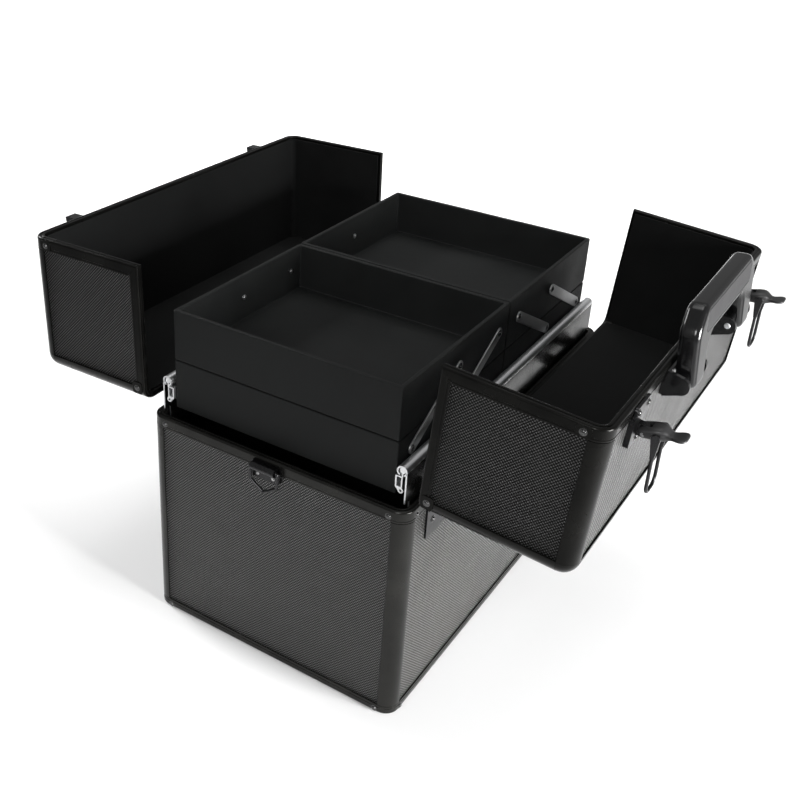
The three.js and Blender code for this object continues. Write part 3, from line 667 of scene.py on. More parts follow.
def make_body():
    for end in ENDS:
        painted(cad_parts[f"body_{end}_panel"], PANEL["xz"])
    for side in SIDES:
        painted(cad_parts[f"body_{side}_panel"], PANEL["yz"])
    painted(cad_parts["body_floor_panel"], PANEL["xy"])
    rim = swept_rim(edge_profile(RIM_BAND, False), lambda h: BODY_HEIGHT - h)
    piece(rim, "body_rim", "body", FRAME, ["body_rim_frame"])
    base_profile = [
        *arc(2.2, 2.2, 2.2, 180, 270, 6),
        *arc(9.4, 0.6, 0.6, 270, 450, 6),
        (SKIN, SKIN),
        (SKIN, BASE_BAND - 0.4),
        *arc(0.75, BASE_BAND - 0.45, 0.45, 0, 90, 3),
        *band_lip(BASE_BAND),
    ]
    base = swept_rim(base_profile, lambda h: h)
    piece(base, "body_base", "body", FRAME, ["body_base_frame"])
    low, high = BASE_BAND + JOINT_GAP, BODY_HEIGHT - RIM_BAND - JOINT_GAP
    for end, sy in ENDS.items():
        for side, sx in SIDES.items():
            outline = [(sx * (HALF_WIDTH - a), sy * (HALF_LENGTH - b)) for a, b in post_section()]
            name = f"body_{end}_{side}_corner"
            post = prism("z", outline, low, high)
            piece(post, name, "body", FRAME, [f"body_{end}_{side}_post"])
    rivets = []
    for sx in (-1, 1):
        for sy in (-1, 1):
            x, y = sx * (HALF_WIDTH - CLEAR), sy * (HALF_LENGTH - CLEAR)
            for z in FRAME_RIVET_ZS:
                rivets.append(rivet("y", sx * FRAME_RIVET_X, z, y, sy, FRAME_RIVET_RADIUS))
                rivets.append(rivet("x", sy * FRAME_RIVET_Y, z, x, sx, FRAME_RIVET_RADIUS))
    piece(merged(rivets), "body_rivets", "body")
    lining = lining_shell(
        about(0, HALF_WIDTH - LINING_OUT),
        about(0, HALF_LENGTH - LINING_OUT),
        (PANEL_IN + CLEAR, BODY_HEIGHT - LINING_TOP_GAP),
        open_faces=["+z"],
        radii={"z": 6, "x": 4, "y": 4},
    )
    piece(lining, "body_lining_cloth", "body", CLOTH, ["body_lining"], angle=50)


def lining_shell(xs, ys, zs, open_faces, radii, thick=LINING_THICK):
    """Soft-cornered open box with a wall."""
    bm = bmesh.new()
    corners = {}
    for i, x in enumerate(xs):
        for j, y in enumerate(ys):
            for k, z in enumerate(zs):
                corners[i, j, k] = bm.verts.new(Vector((x, y, z)) * MM)
    sides = {
        "-x": [(0, 0, 0), (0, 0, 1), (0, 1, 1), (0, 1, 0)],
        "+x": [(1, 0, 0), (1, 1, 0), (1, 1, 1), (1, 0, 1)],
        "-y": [(0, 0, 0), (1, 0, 0), (1, 0, 1), (0, 0, 1)],
        "+y": [(0, 1, 0), (0, 1, 1), (1, 1, 1), (1, 1, 0)],
        "-z": [(0, 0, 0), (0, 1, 0), (1, 1, 0), (1, 0, 0)],
        "+z": [(0, 0, 1), (1, 0, 1), (1, 1, 1), (0, 1, 1)],
    }
    for name, loop in sides.items():
        if name not in open_faces:
            bm.faces.new([corners[c] for c in loop])
    for axis, radius in radii.items():
        index = "xyz".index(axis)
        edges = [
            edge for edge in bm.edges
            if len(edge.link_faces) == 2
            and abs((edge.verts[1].co - edge.verts[0].co).normalized()[index]) > 0.99
            and edge.calc_face_angle() > 1
        ]
        bmesh.ops.bevel(
            bm, geom=edges, offset=radius * MM, segments=2, profile=0.5, affect="EDGES"
        )
    bmesh.ops.recalc_face_normals(bm, faces=bm.faces)
    obj = object_of(bm)
    wall = obj.modifiers.new("wall", "SOLIDIFY")
    wall.thickness = thick * MM
    wall.offset = -1
    return applied(obj)


# ---------- lids ----------
def lid_rim(s):
    """Mating-edge extrusion round three sides of a lid, mitred at the free edge."""
    x, y = HALF_WIDTH - CORNER, HALF_LENGTH - CORNER

    def station(d, h):
        start = CENTRE_GAP + max(h, 0) + MITRE_GAP
        return [
            (start, -HALF_LENGTH + d),
            *arc(x, -y, CORNER - d, 270, 360, 10),
            *arc(x, y, CORNER - d, 0, 90, 10),
            (start, HALF_LENGTH - d),
        ]

    profile = edge_profile(LID_RIM_BAND, True)
    return skinned(profile, station, lambda u, v, h: (s * u, v, LID_LOW + h))


def lid_free_edge(s):
    """Extrusion round the free edge of a lid, mitred at its feet."""
    y, z = HALF_LENGTH - CORNER, CASE_HEIGHT - CORNER

    def station(d, h):
        foot = LID_LOW + max(h, 0) + MITRE_GAP
        return [
            (HALF_LENGTH - d, foot),
            *arc(y, z, CORNER - d, 0, 90, 10),
            *arc(-y, z, CORNER - d, 90, 180, 10),
            (-HALF_LENGTH + d, foot),
        ]

    profile = edge_profile(LID_EDGE_BAND, False)
    return skinned(profile, station, lambda u, v, h: (s * (CENTRE_GAP + h), u, v))


def corner_ball(sx, sy, steps=8):
    """Hollow eighth of a sphere where three rounded lid edges meet."""
    centre = Vector((sx * (HALF_WIDTH - CORNER), sy * (HALF_LENGTH - CORNER), CASE_HEIGHT - CORNER))
    rows = []
    for i in range(steps + 1):
        polar = math.radians(90 * i / steps)
        outer, inner = [], []
        for j in range(steps + 1):
            turn, level = math.radians(90 * j / steps), math.sin(polar)
            way = Vector((sx * level * math.cos(turn), sy * level * math.sin(turn), math.cos(polar)))
            outer.append(tuple(centre + way * (CORNER - 0.05)))
            inner.append(tuple(centre + way * (CORNER - BALL_WALL)))
        rows.append(outer + inner[::-1])
    return loft(rows)


def lid_posts(s):
    """Rounded outer edges of a lid, one hollow quarter-round each, and the corner balls."""
    parts = []
    section = post_section()
    for sy in (-1, 1):
        upright = [(s * (HALF_WIDTH - a), sy * (HALF_LENGTH - b)) for a, b in section]
        low, high = LID_LOW + LID_RIM_BAND + JOINT_GAP, CASE_HEIGHT - CORNER - JOINT_GAP
        parts.append(prism("z", upright, low, high))
        across = [(sy * (HALF_LENGTH - a), CASE_HEIGHT - b) for a, b in section]
        inner, outer = CENTRE_GAP + LID_EDGE_BAND + JOINT_GAP, HALF_WIDTH - CORNER - JOINT_GAP
        parts.append(prism("x", across, *between(s, inner, outer)))
        parts.append(corner_ball(s, sy))
    along = [(s * (HALF_WIDTH - a), CASE_HEIGHT - b) for a, b in section]
    reach = HALF_LENGTH - CORNER - JOINT_GAP
    parts.append(prism("y", along, -reach, reach))
    return parts


def lid_panels(s):
    """Four flat panels, held by the edges of the frame."""
    low, high = LID_LOW + PANEL_FOOT, CASE_HEIGHT - PANEL_HOLD
    inner, outer = s * (CENTRE_GAP + PANEL_FOOT), s * (HALF_WIDTH - PANEL_HOLD)
    reach = HALF_LENGTH - PANEL_HOLD
    parts = []
    for sy in (-1, 1):
        ys = (sy * (HALF_LENGTH - PANEL_OUT), sy * (HALF_LENGTH - PANEL_IN))
        # The lid end panels take the darker panel copy: painted shade.
        parts.append(painted(block((inner, outer), ys, (low, high)), SHADED_LID_END))
    side = block(
        (s * (HALF_WIDTH - PANEL_OUT), s * (HALF_WIDTH - PANEL_IN)), (-reach, reach), (low, high)
    )
    parts.append(painted(side, PANEL["yz"]))
    top = block((inner, outer), (-reach, reach), (CASE_HEIGHT - PANEL_OUT, CASE_HEIGHT - PANEL_IN))
    parts.append(painted(top, PANEL["xy"]))
    return merged(parts)


TAB_PROUD = 0.55
TABS = {"top": (5.6, 285, 4.2, 5.2), "foot": (104.5, 196.4, 5.2, 4.8)}


def corner_tab(s, sy, x, z, half_x, half_z):
    """Small riveted plate over a joint of the frame on the end of a lid."""
    outline = rectangle(s * x - half_x, s * x + half_x, z - half_z, z + half_z, 2.2)
    tab = prism("y", outline, *between(sy, HALF_LENGTH - CLEAR, HALF_LENGTH + TAB_PROUD))
    head = rivet("y", s * x, z, sy * (HALF_LENGTH + TAB_PROUD - 0.2), sy, 1.8)
    # The tab takes the darker frame copy: painted shade.
    return [painted(eased(tab, 0.25, 2), SHADED_FRAME), head]


def make_lid(side):
    s, turn, body = SIDES[side], TURNS[side], f"{side}_lid"
    edges = merged([lid_rim(s), lid_free_edge(s), *lid_posts(s)])
    # The edging takes the darker frame copy: painted shade.
    piece(edges, f"{body}_edging", body, SHADED_FRAME, [f"{body}_frame"], turn)
    panels = lid_panels(s)
    piece(panels, f"{body}_panels", body, None, [f"{body}_shell"], turn)
    lining = lining_shell(
        between(s, CENTRE_GAP + LINING_EDGE, HALF_WIDTH - LINING_OUT),
        about(0, HALF_LENGTH - LINING_OUT),
        (LID_LOW + LINING_EDGE, CASE_HEIGHT - LINING_OUT),
        open_faces=["-z", "-x" if s > 0 else "+x"],
        radii={"y": 6, "x": 6, "z": 1.5},
    )
    piece(lining, f"{body}_cloth", body, CLOTH, [f"{body}_lining"], turn, angle=50)
    tabs = []
    for sy in (-1, 1):
        for place_and_size in TABS.values():
            tabs += corner_tab(s, sy, *place_and_size)
    piece(merged(tabs), f"{body}_corner_tabs", body, None, turn=turn)


# ---------- hinges ----------
HINGE_CENTRES = {"near": -119, "far": 119}
HINGE_HALF = 30
KNUCKLE_HALF = 11.5
KNUCKLE_RADIUS = 3.4
KNUCKLE_FOOT = 1
LEAF = 1.4
LEAF_LOW = 150
LEAF_HIGH = 228
LEAF_STEP = 3
LEAF_RIVET_ZS = {"body": 164, "lid": 214}
LEAF_RIVET_YS = (-21, 0, 21)
HINGE_PIN_RADIUS = 1.5
HINGE_PIN_END = 0.9
HINGE_BORE_HALF = 20


def hinge_leaf(s, y, zs, step_zs, spans, hinge_zs):
    """Leaf plate with its knuckles, let into the frame's edge."""
    face = HALF_WIDTH - SKIN
    proud = HALF_WIDTH + CLEAR
    outline = rectangle(*about(y, HINGE_HALF), *zs, 2.5)
    leaf = prism("x", outline, *between(s, face, face + LEAF))
    for span in spans:
        step = block((s * face, s * (proud + LEAF)), span, step_zs)
        neck = block((s * proud, s * (proud + LEAF)), span, (step_zs[0], hinge_zs[1]))
        bridge = block((s * proud, s * HINGE_X), span, hinge_zs)
        add(leaf, step, neck, bridge, bar("y", s * HINGE_X, HINGE_Z, KNUCKLE_RADIUS, *span))
    return eased(leaf, 0.35, 2)


def leaf_rivets(s, y, z):
    """Row of rivet heads on a leaf's outer face."""
    face = s * (HALF_WIDTH - SKIN + LEAF)
    return [rivet("x", y + k, z, face, s, PLATE_RIVET_RADIUS) for k in LEAF_RIVET_YS]


def make_hinges():
    for side, s in SIDES.items():
        for end, y in HINGE_CENTRES.items():
            cut_at = KNUCKLE_HALF + CLEAR
            outer = [(y - HINGE_HALF, y - cut_at), (y + cut_at, y + HINGE_HALF)]
            under = BODY_HEIGHT - RIM_BAND - CLEAR
            hinge_zs = (HINGE_Z - KNUCKLE_RADIUS, HINGE_Z - KNUCKLE_FOOT)
            body_leaf = hinge_leaf(
                s, y, (LEAF_LOW, under), (under - LEAF_STEP, under), outer, hinge_zs
            )
            pin_ys = about(y, HINGE_HALF + HINGE_PIN_END)
            pin = bar("y", s * HINGE_X, HINGE_Z, HINGE_PIN_RADIUS, *pin_ys)
            heads = leaf_rivets(s, y, LEAF_RIVET_ZS["body"])
            whole = merged([painted(body_leaf, PLATED), painted(eased(pin, 0.5), PLATED), *heads])
            name = f"{end}_{side}_hinge_body_leaf"
            piece(whole, f"{name}_detail", "body", None, [name])
            over = LID_LOW + LID_RIM_BAND + CLEAR
            middle = [about(y, KNUCKLE_HALF)]
            hinge_zs = (HINGE_Z + KNUCKLE_FOOT, HINGE_Z + KNUCKLE_RADIUS)
            lid_leaf = hinge_leaf(
                s, y, (over, LEAF_HIGH), (over, over + LEAF_STEP), middle, hinge_zs
            )
            bore = HINGE_PIN_RADIUS + CLEAR
            cut(lid_leaf, bar("y", s * HINGE_X, HINGE_Z, bore, *about(y, HINGE_BORE_HALF)))
            whole = merged([painted(lid_leaf, PLATED), *leaf_rivets(s, y, LEAF_RIVET_ZS["lid"])])
            name = f"{end}_{side}_hinge_lid_leaf"
            piece(
                whole, f"{name}_detail", f"{side}_lid", None, [name], TURNS[side]
            )


# ---------- rails, trays and links ----------
def make_rails():
    for side, s in SIDES.items():
        tube = bar("y", s * TUBE_X, TUBE_Z, TUBE_RADIUS, -RAIL_HALF, RAIL_HALF, 48)
        bore = TUBE_RADIUS - TUBE_WALL
        cut(tube, bar("y", s * TUBE_X, TUBE_Z, bore, *about(0, PAST_ENDS), 48))
        slit = block(about(s * TUBE_X, SLIT_HALF), about(0, PAST_ENDS), (TUBE_Z - 6, TUBE_Z))
        eased(cut(tube, slit), 0.2, 2)
        plate_out = TUBE_X + TUBE_RADIUS
        xs = between(s, plate_out - RAIL_THICK, plate_out)
        half = [
            (RAIL_FOOT_HALF, RAIL_FOOT, 2), (RAIL_FOOT_HALF, RAIL_SHOULDER, 1),
            (RAIL_HALF, RAIL_SHOULDER, 0.3), (RAIL_HALF, RAIL_TOP, 0.3),
        ]
        mirrored = [(-y, z, radius) for y, z, radius in reversed(half)]
        corners = [*mirrored[1:], *half, mirrored[0]]
        plate = eased(prism("x", filleted(corners, 3), *xs), 0.15, 2)
        # The plate takes the darker frame copy: painted shade.
        plate.data.materials.append(SHADED_FRAME)
        plate.data.materials.append(SILVER)
        for face in plate.data.polygons:
            face.material_index = 1 if abs(face.normal.y) > 0.9 else 0
        whole = merged([painted(tube, SILVER), plate])
        name = f"{side}_tray_rail"
        piece(whole, f"{name}_extrusion", "body", None, [name])


def tray_shell(e, low, seed):
    """Wrapped board tray: soft edges, walls very slightly out of true."""
    bm = bmesh.new()
    y0, y1 = between(e, TRAY_CENTRE, TRAY_NEAR)
    top = low + TRAY_HEIGHT

    def ring_of(inset, z):
        x, near, far = TRAY_HALF - inset, y0 + inset, y1 - inset
        corners = [(-x, near), (x, near), (x, far), (-x, far)]
        return [bm.verts.new(Vector((*corner, z)) * MM) for corner in corners]

    levels = [(0, low), (0, top), (TRAY_WALL, top), (TRAY_WALL, low + TRAY_FLOOR)]
    rings = [ring_of(*level) for level in levels]
    bm.faces.new(rings[0][::-1])
    bm.faces.new(rings[3])
    for here, there in zip(rings, rings[1:]):
        for i in range(4):
            bm.faces.new((here[i], here[(i + 1) % 4], there[(i + 1) % 4], there[i]))
    bmesh.ops.recalc_face_normals(bm, faces=bm.faces)
    bmesh.ops.bevel(
        bm, geom=list(bm.edges), offset=TRAY_EDGE * MM, segments=4, profile=0.5, affect="EDGES"
    )
    for reach, cuts in ((100, 13), (30, 5)):
        edges = [edge for edge in bm.edges if edge.calc_length() > reach * MM]
        bmesh.ops.subdivide_edges(bm, edges=edges, cuts=cuts, use_grid_fill=True)
    bm.normal_update()
    (swell_scale, swell), (ripple_scale, ripple) = TRAY_SWELL, TRAY_RIPPLE
    for vert in bm.verts:
        broad = vert.co * swell_scale + Vector((seed, seed, 0))
        fine = vert.co * ripple_scale + Vector((0, seed, seed))
        shift = swell * noise.noise(broad) + ripple * noise.noise(fine)
        vert.co += vert.normal * shift * MM
    return object_of(bm)


def hanger(s, e):
    """Hollow side rail of a lower tray, with the bead that runs in the tube."""
    ys = between(e, TRAY_CENTRE + 1, HANGER_END)
    past = about(0, PAST_ENDS)
    wall = 1.1
    left, right = TRAY_HALF + CLEAR, TUBE_X + CLEAR
    outline = [
        (left, HANGER_TOP), (right, HANGER_TOP), (right, CURL_Z + wall),
        (right - 2.3, CURL_Z - 1.4), (left, CURL_Z + CURL_RADIUS),
    ]
    shape = prism("y", rounded([(s * x, z) for x, z in outline], 0.5, 3), *ys)
    curl = (s * (TUBE_X - 0.8), CURL_Z)
    add(shape, bar("y", *curl, CURL_RADIUS, *ys, 32))
    hollow = block((s * (left + wall), s * (right - wall)), past, (CURL_Z + 3, HANGER_TOP - wall))
    cut(shape, hollow, bar("y", *curl, 1.0, *past, 20))
    neck = block(about(s * TUBE_X, NECK_HALF), ys, (HANGER_TOP - 0.5, TUBE_Z))
    bead = bar("y", s * TUBE_X, TUBE_Z, BEAD_RADIUS, *ys, 32)
    add(shape, neck, bead)
    return shape


def link(s, e, low_y):
    """Flat link with a domed stud at each end and the stud's head inside the tray."""
    high_y = low_y - PIVOT_SHIFT
    face = TRAY_HALF + CLEAR
    inner = TRAY_HALF - TRAY_WALL - CLEAR
    lean = math.degrees(math.atan2(HIGH_PIVOT_Z - LOW_PIVOT_Z, e * (high_y - low_y)))
    outline = [
        *arc(e * low_y, LOW_PIVOT_Z, LINK_RADIUS, lean + 90, lean + 270, 14),
        *arc(e * high_y, HIGH_PIVOT_Z, LINK_RADIUS, lean - 90, lean + 90, 14),
    ]
    shape = prism("x", outline, *between(s, face, face + LINK_THICK))
    parts = [painted(eased(shape, 0.3, 2), SATIN)]
    for y, z in ((low_y, LOW_PIVOT_Z), (high_y, HIGH_PIVOT_Z)):
        stud = bar("x", e * y, z, STUD_RADIUS, *between(s, inner - 0.5, face + 1), 20)
        parts.append(painted(stud, SATIN))
        parts.append(rivet("x", e * y, z, s * (face + LINK_THICK - 0.1), s, 1.7, 0.7, RIVET))
        parts.append(rivet("x", e * y, z, s * inner, -s, 1.4, 0.7, SATIN))
    return merged(parts)


def make_trays():
    for end, e in ENDS.items():
        seed = 3.1 if e > 0 else 7.7
        for level, low, tray_seed in (("lower", LOWER_Z, seed), ("upper", UPPER_Z, seed + 5)):
            name = f"{end}_{level}_tray"
            shell = tray_shell(e, low, tray_seed)
            piece(shell, f"{name}_wrap", name, LEATHER, [name])
        for side, s in SIDES.items():
            name = f"{end}_{side}_tray_hanger"
            piece(
                hanger(s, e), f"{name}_extrusion", f"{end}_lower_tray", SILVER,
                [name],
            )
            for where, low_y in LOW_PIVOTS.items():
                name = f"{end}_{where}_link_{side}"
                body = f"{end}_{where}_links"
                piece(link(s, e, low_y), f"{name}_bar", body, None, [name])


# ---------- handle ----------
PLATE_THICK = 2
BRACKET_XS = (4, 23)
PAD = (-35, -19, -54, 54)
PAD_RADIUS = 4


def stepped_plate(s, xs, ys, radius=2.5):
    """Plate lying over the free-edge band and stepping down to the panel."""
    step = CENTRE_GAP + LID_EDGE_BAND + 0.6
    top = CASE_HEIGHT + CLEAR
    high = rectangle(*between(s, *xs), *sorted(ys), radius)
    low = rectangle(*between(s, step, xs[1]), *sorted(ys), radius)
    return add(
        prism("z", high, top, top + PLATE_THICK),
        prism("z", low, CASE_HEIGHT - SKIN, CASE_HEIGHT - SKIN + PLATE_THICK),
    )


def make_handle():
    z = CASE_HEIGHT + HANDLE_H
    for end, e in ENDS.items():
        first, last = BRACKET_YS
        plate = stepped_plate(1, BRACKET_XS, (e * first, e * last))
        ear = [
            *((x, CASE_HEIGHT + 1) for x in BRACKET_XS),
            *arc(HANDLE_X + 0.5, z - 0.5, EAR_RADIUS, 10, 170, 20),
        ]
        for y in (first, last - EAR_THICK):
            add(plate, prism("y", ear, *between(e, y, y + EAR_THICK)))
        eased(plate, 0.7, 3)
        pin = eased(bar("y", HANDLE_X, z, 2.3, *between(e, first - 0.7, last - 1), 28), 0.6)
        bolts = [
            rivet("z", 13.5, e * y, CASE_HEIGHT + PLATE_TOP, 1, 2.0, material=SILVER) for y in BOLT_YS
        ]
        whole = merged([painted(plate, GLOSS), painted(pin, SILVER), *bolts])
        name = f"{end}_handle_bracket"
        piece(whole, f"{name}_moulding", "right_lid", None, [name], RIGHT_TURN)
    foot = HANDLE_X + 6.5
    outer = [(foot, 67.8, 6.4), (-24, 70, 16), (GRIP_OUT, 56, 12)]
    inner = [(foot, 46.2, 6.4), (GRIP_IN + 3, 42.5, 9), (GRIP_IN, 35, 6)]
    half = [*reversed(outer), *inner]
    corners = [*((x, -y, r) for x, y, r in outer), *half, *((x, -y, r) for x, y, r in inner[::-1])]
    grip = prism("z", filleted(corners, 8), *about(z, GRIP_HALF))
    eased(grip, 4.2, 5)
    x0, x1, y0, y1 = PAD
    bed = z + GRIP_HALF - PAD_SINK
    recess = rectangle(x0 - CLEAR, x1 + CLEAR, y0 - CLEAR, y1 + CLEAR, PAD_RADIUS + CLEAR)
    pocket = prism("z", recess, bed - CLEAR, z + GRIP_HALF + 2)
    hole = bar("y", HANDLE_X, z, 2.4, -80, 80, 28)
    cut(grip, pocket, hole)
    lean = RIGHT_TURN @ turn_about(HANDLE_X, z, -HANDLE_LEAN)
    piece(grip, "handle_grip_moulding", "handle", GLOSS, ["handle_grip"], lean)
    inlay = prism("z", rectangle(*PAD, PAD_RADIUS), bed, z + GRIP_HALF + 0.2)
    eased(inlay, 0.6, 3)
    piece(inlay, "handle_inlay", "handle", INLAY, ["handle_pad"], lean)


# ---------- latches ----------
LATCH_XS = (3, 33)
CATCH_XS = (2, 31)
POST_RADIUS = 4
CHEEK_YS = (7.9, 10.2)
LATCH_RIVETS = ((7.5, -8.5), (7.5, 8.5), (29, 0))
CATCH_RIVETS = ((-22, -7), (-22, 7))


def plate_rivets(y, places):
    """Rivet heads on a plate that lies on a lid's free edge."""
    face = CASE_HEIGHT + PLATE_TOP
    return [rivet("z", x, y + k, face, 1, PLATE_RIVET_RADIUS) for x, k in places]


def lever_shape(y, z):
    """Sculpted lever: bulky head, narrow neck and a thin curved paddle.

    Each station is its distance along the lever, its half width, its underside and its top.
    """
    pull, sides = 0.62, 24
    stations = [
        (-4.0, 5.6, -2.0, 1.8), (-3.4, 7.0, -3.0, 3.2), (-1.0, 7.5, -3.5, 4.2), (3.0, 7.5, -3.7, 4.8),
        (6.5, 7.5, -3.7, 5.6), (10.0, 7.2, -3.6, 5.8), (12.6, 6.2, -3.4, 5.2), (14.6, 4.8, -2.9, 3.4),
        (16.4, 4.2, -2.2, 1.8), (18.4, 5.2, -1.6, 1.3), (20.8, 6.8, -1.3, 1.4), (23.4, 7.2, -1.0, 1.6),
        (25.4, 6.2, -0.7, 1.6), (26.5, 3.8, -0.3, 1.2),
    ]
    rows = []
    for x, half, low, high in stations:
        mid, tall = (low + high) / 2, (high - low) / 2
        row = []
        for k in range(sides):
            turn = 2 * math.pi * k / sides
            across, up = (math.copysign(abs(c) ** pull, c) for c in (math.cos(turn), math.sin(turn)))
            row.append((LEVER_X + x, y + half * across, z + mid + tall * up))
        rows.append(row)
    obj = loft(rows)
    smooth = obj.modifiers.new("smooth", "SUBSURF")
    smooth.levels = smooth.render_levels = 1
    return applied(obj)


def wire(points, radius, sides=14, closed=False):
    """Round wire through a list of points in millimetres."""
    line = [Vector(p) for p in points]
    count = len(line)
    rows = []
    across = None
    for i, here in enumerate(line):
        if closed:
            way = (line[(i + 1) % count] - line[i - 1]).normalized()
        else:
            way = (line[min(i + 1, count - 1)] - line[max(i - 1, 0)]).normalized()
        if across is None:
            across = way.orthogonal().normalized()
        across = (across - way * across.dot(way)).normalized()
        other = way.cross(across)
        turns = [2 * math.pi * k / sides for k in range(sides)]
        rows.append(
            [
                tuple(here + across * radius * math.cos(t) + other * radius * math.sin(t))
                for t in turns
            ]
        )
    return loft(rows, closed)


def make_latches():
    z = CASE_HEIGHT + LEVER_H
    lift = turn_about(LEVER_X, z, -LEVER_REST)
    angle = math.radians(LEVER_REST)
    shift = Vector((BAIL_OFFSET * (math.cos(angle) - 1), 0, BAIL_OFFSET * math.sin(angle))) * MM
    pivot = LEVER_X + BAIL_OFFSET
    swing = Matrix.Translation(shift) @ turn_about(pivot, z, 180 - (RIGHT_OPEN - 90))
    for end, e in ENDS.items():
        y = e * LATCH_Y
        plate_ys, post_ys = about(y, PLATE_HALF), about(y, POST_HALF)
        plate = stepped_plate(1, LATCH_XS, plate_ys)
        add(plate, block(about(LEVER_X, POST_RADIUS), post_ys, (CASE_HEIGHT + 1, z)))
        add(plate, bar("y", LEVER_X, z, POST_RADIUS, *post_ys, 32))
        eased(plate, 0.45, 2)
        pin = eased(bar("y", LEVER_X, z, STUD_RADIUS, *about(y, LEVER_PIN_HALF), 24), 0.3, 2)
        studs = plate_rivets(y, LATCH_RIVETS)
        whole = merged([painted(plate, PLATED), painted(pin, SATIN), *studs])
        name = f"{end}_latch_base"
        piece(whole, f"{name}_plate", "right_lid", None, [name], RIGHT_TURN)
        lever = lever_shape(y, z)
        cut(lever, block((LEVER_X - 6, LEVER_X + 4.6), about(y, POST_HALF + 0.4), about(z, 9)))
        name = f"{end}_latch_lever"
        piece(
            eased(lever, 0.3, 2, 50), f"{name}_moulding", name, DULL, [name],
            RIGHT_TURN @ lift,
        )
        bend, straight = pivot - BAIL_REACH + BAIL_BEND, BAIL_HALF - BAIL_BEND
        heel = pivot - 9
        flat = [
            (heel, y + BAIL_HALF),
            *arc(bend, y + straight, BAIL_BEND, 90, 180, 8),
            *arc(bend, y - straight, BAIL_BEND, 180, 270, 8),
            (heel, y - BAIL_HALF),
        ]
        loop = [(u, v, z) for u, v in flat]
        bail = [painted(wire(loop, BAIL_RADIUS), PLATED)]
        for k in (-1, 1):
            cheek = [
                *arc(pivot, z, 3.0, -90, 90, 10),
                (heel, z + 1.9), (heel - 5, z + 1.3), (heel - 5, z - 1.3), (heel, z - 1.9),
            ]
            ys = sorted(y + k * reach for reach in CHEEK_YS)
            bail.append(painted(eased(prism("y", cheek, *ys), 0.4, 2), PLATED))
        name = f"{end}_latch_bail"
        piece(merged(bail), f"{name}_wire", name, None, [name], RIGHT_TURN @ swing)
        catch = stepped_plate(-1, CATCH_XS, plate_ys)
        hook = [
            (-2, 1, 0.1), (-2, 12.5, 1.1), (-4.4, 12.5, 1.1), (-13.5, 10.5, 0.8),
            (-13.5, 9.1, 0.8), (-8.2, 9.1, 1.2), (-8.2, 1, 0.1),
        ]
        outline = filleted([(x, CASE_HEIGHT + h, radius) for x, h, radius in hook], 4)
        add(catch, prism("y", outline, *about(y, HOOK_HALF)))
        eased(catch, 0.4, 2)
        whole = merged([painted(catch, PLATED), *plate_rivets(y, CATCH_RIVETS)])
        name = f"{end}_catch"
        piece(whole, f"{name}_plate", "left_lid", None, [name], LEFT_TURN)


# ---------- strap rings ----------
STRAP_THICK = 1.5
STRAP_XS = about(RING_X, 13)
STRAP_ZS = (172, 186)
STRAP_FOOT_ZS = (172.2, 178.7)
STRAP_RIVET_Z = 175.4
RING_SHOULDER = 170.4
RING_POINT = 162.6


def make_strap_rings():
    for end, e in ENDS.items():
        face = HALF_LENGTH + CLEAR
        front = face + STRAP_THICK
        plate = prism("y", rectangle(*STRAP_XS, *STRAP_ZS, 2.2), *between(e, face, front))
        foot = rectangle(*STRAP_XS, *STRAP_FOOT_ZS, 1.8)
        add(plate, prism("y", foot, *between(e, face - STRAP_THICK, front)))
        fold_xs = about(RING_X, FOLD_HALF)
        fold = block(fold_xs, (e * face, e * RING_Y), about(RING_Z, FOLD_RADIUS))
        add(plate, fold, bar("x", e * RING_Y, RING_Z, FOLD_RADIUS, *fold_xs, 32))
        cut(plate, bar("x", e * RING_Y, RING_Z, RING_BORE, *about(RING_X, 20), 24))
        eased(plate, 0.35, 2)
        heads = [
            rivet("y", RING_X + k, STRAP_RIVET_Z, e * (front - 0.1), e, 0.6, 0.5, STUD_HEAD)
            for k in (-7, 7)
        ]
        name = f"{end}_strap_plate"
        whole = merged([painted(plate, PLATED), *heads])
        piece(whole, f"{name}_detail", "body", None, [name])
        corners = [
            (-RING_HALF, RING_Z, 1.4), (-RING_HALF, RING_SHOULDER, 2), (0, RING_POINT, 2),
            (RING_HALF, RING_SHOULDER, 2), (RING_HALF, RING_Z, 1.4),
        ]
        path = filleted(corners, 5)
        ring = wire([(RING_X + x, e * RING_Y, z) for x, z in path], RING_RADIUS, closed=True)
        name = f"{end}_strap_ring"
        piece(ring, f"{name}_wire", name, PLATED, [name])


# ---------- floor, light and camera ----------
FLOOR_HALF = 9000
CAMERA_ANGLES = (33.63, 27.12, 1.63)
CAMERA_PLACE = (386.138, -723.245, 630.452)
CAMERA_LENS = 48.686
CAMERA_SHIFT = (0.1234, -0.0749)


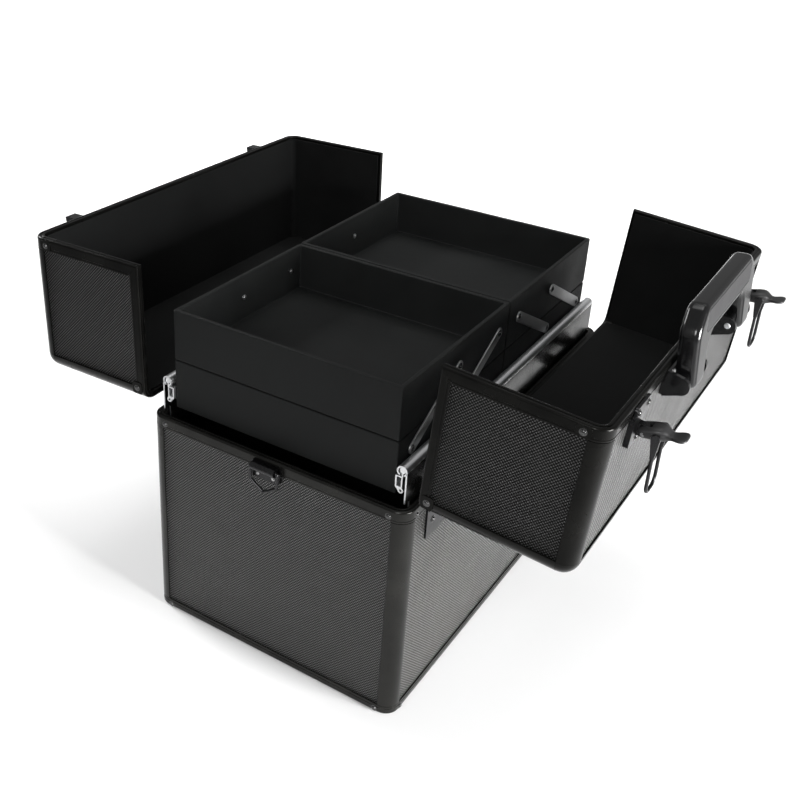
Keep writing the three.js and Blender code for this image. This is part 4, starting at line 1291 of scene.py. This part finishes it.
def make_stage():
    """Pale floor, even surroundings and soft boxes: place, target, size, watts and spread."""
    corners = [(-1, -1), (1, -1), (1, 1), (-1, 1)]
    floor = made([(FLOOR_HALF * u, FLOOR_HALF * v, 0) for u, v in corners], [(0, 1, 2, 3)])
    floor.name = "floor"
    floor.location.z = -0.2 * MM
    mat, _, shader = material("floor", specular=0.2)
    shader.inputs["Base Color"].default_value = (0.93, 0.93, 0.93, 1)
    shader.inputs["Roughness"].default_value = 0.6
    painted(floor, mat)
    world = bpy.data.worlds.new("studio")
    bpy.context.scene.world = world
    world.use_nodes = True
    background = next(n for n in world.node_tree.nodes if n.type == "BACKGROUND")
    background.inputs["Color"].default_value = (1, 1, 1, 1)
    background.inputs["Strength"].default_value = 0.28
    lights = [
        ("top_softbox", (-0.05, 0.2, 1.3), (-0.05, 0.2, 0), (0.8, 0.8), 0.7, 60),
        ("rear_softbox", (-0.05, 0.45, 1.3), (-0.05, 0.45, 0), (0.6, 0.6), 0.75, 48),
        ("floor_softbox", (-1.3, 1.1, 1.4), (-1.3, 1.1, 0), (2.6, 1.4), 21, 64),
        ("back_softbox", (-2.6, 5.4, 2.6), (-2.6, 5.4, 0), (7.5, 8.0), 310, 80),
        ("front_softbox", (0.35, -1.75, 1.05), (0, -0.1, 0.15), (0.6, 0.6), 1.9, 60),
        ("right_softbox", (1.6, -0.1, 0.35), (0.1, -0.1, 0.1), (0.6, 0.6), 9, 60),
        ("left_softbox", (-1.5, 0.1, 0.9), (-0.15, 0, 0), (0.5, 0.5), 1.3, 40),
    ]
    for name, place, target, size, watts, spread in lights:
        light = bpy.data.lights.new(name, "AREA")
        light.shape = "RECTANGLE"
        light.size, light.size_y = size
        light.energy = watts
        light.spread = math.radians(spread)
        lamp = bpy.data.objects.new(name, light)
        lamp.location = place
        aim = Vector(target) - Vector(place)
        lamp.visible_camera = False
        lamp.rotation_euler = aim.to_track_quat("-Z", "Y").to_euler()
        bpy.context.scene.collection.objects.link(lamp)


def make_camera():
    """Camera fitted to the picture: place, direction, roll, lens and frame shift."""
    azimuth, elevation, roll = (math.radians(a) for a in CAMERA_ANGLES)
    level = math.cos(elevation)
    ahead = Vector((-math.sin(azimuth) * level, math.cos(azimuth) * level, -math.sin(elevation)))
    side = ahead.cross(Vector((0, 0, 1))).normalized()
    upward = side.cross(ahead)
    right = side * math.cos(roll) + upward * math.sin(roll)
    up = upward * math.cos(roll) - side * math.sin(roll)
    data = bpy.data.cameras.new("camera")
    data.lens = CAMERA_LENS
    data.sensor_width = 36
    data.shift_x, data.shift_y = CAMERA_SHIFT
    camera = bpy.data.objects.new("camera", data)
    place = Vector(CAMERA_PLACE) * MM
    rotation = Matrix((right, up, -ahead)).transposed().to_4x4()
    camera.matrix_world = Matrix.Translation(place) @ rotation
    bpy.context.scene.collection.objects.link(camera)
    bpy.context.scene.camera = camera


make_camera()
make_stage()
make_body()
make_lid("left")
make_lid("right")
make_hinges()
make_rails()
make_trays()
make_handle()
make_latches()
make_strap_rings()
bpy.context.scene.view_settings.view_transform = "Standard"
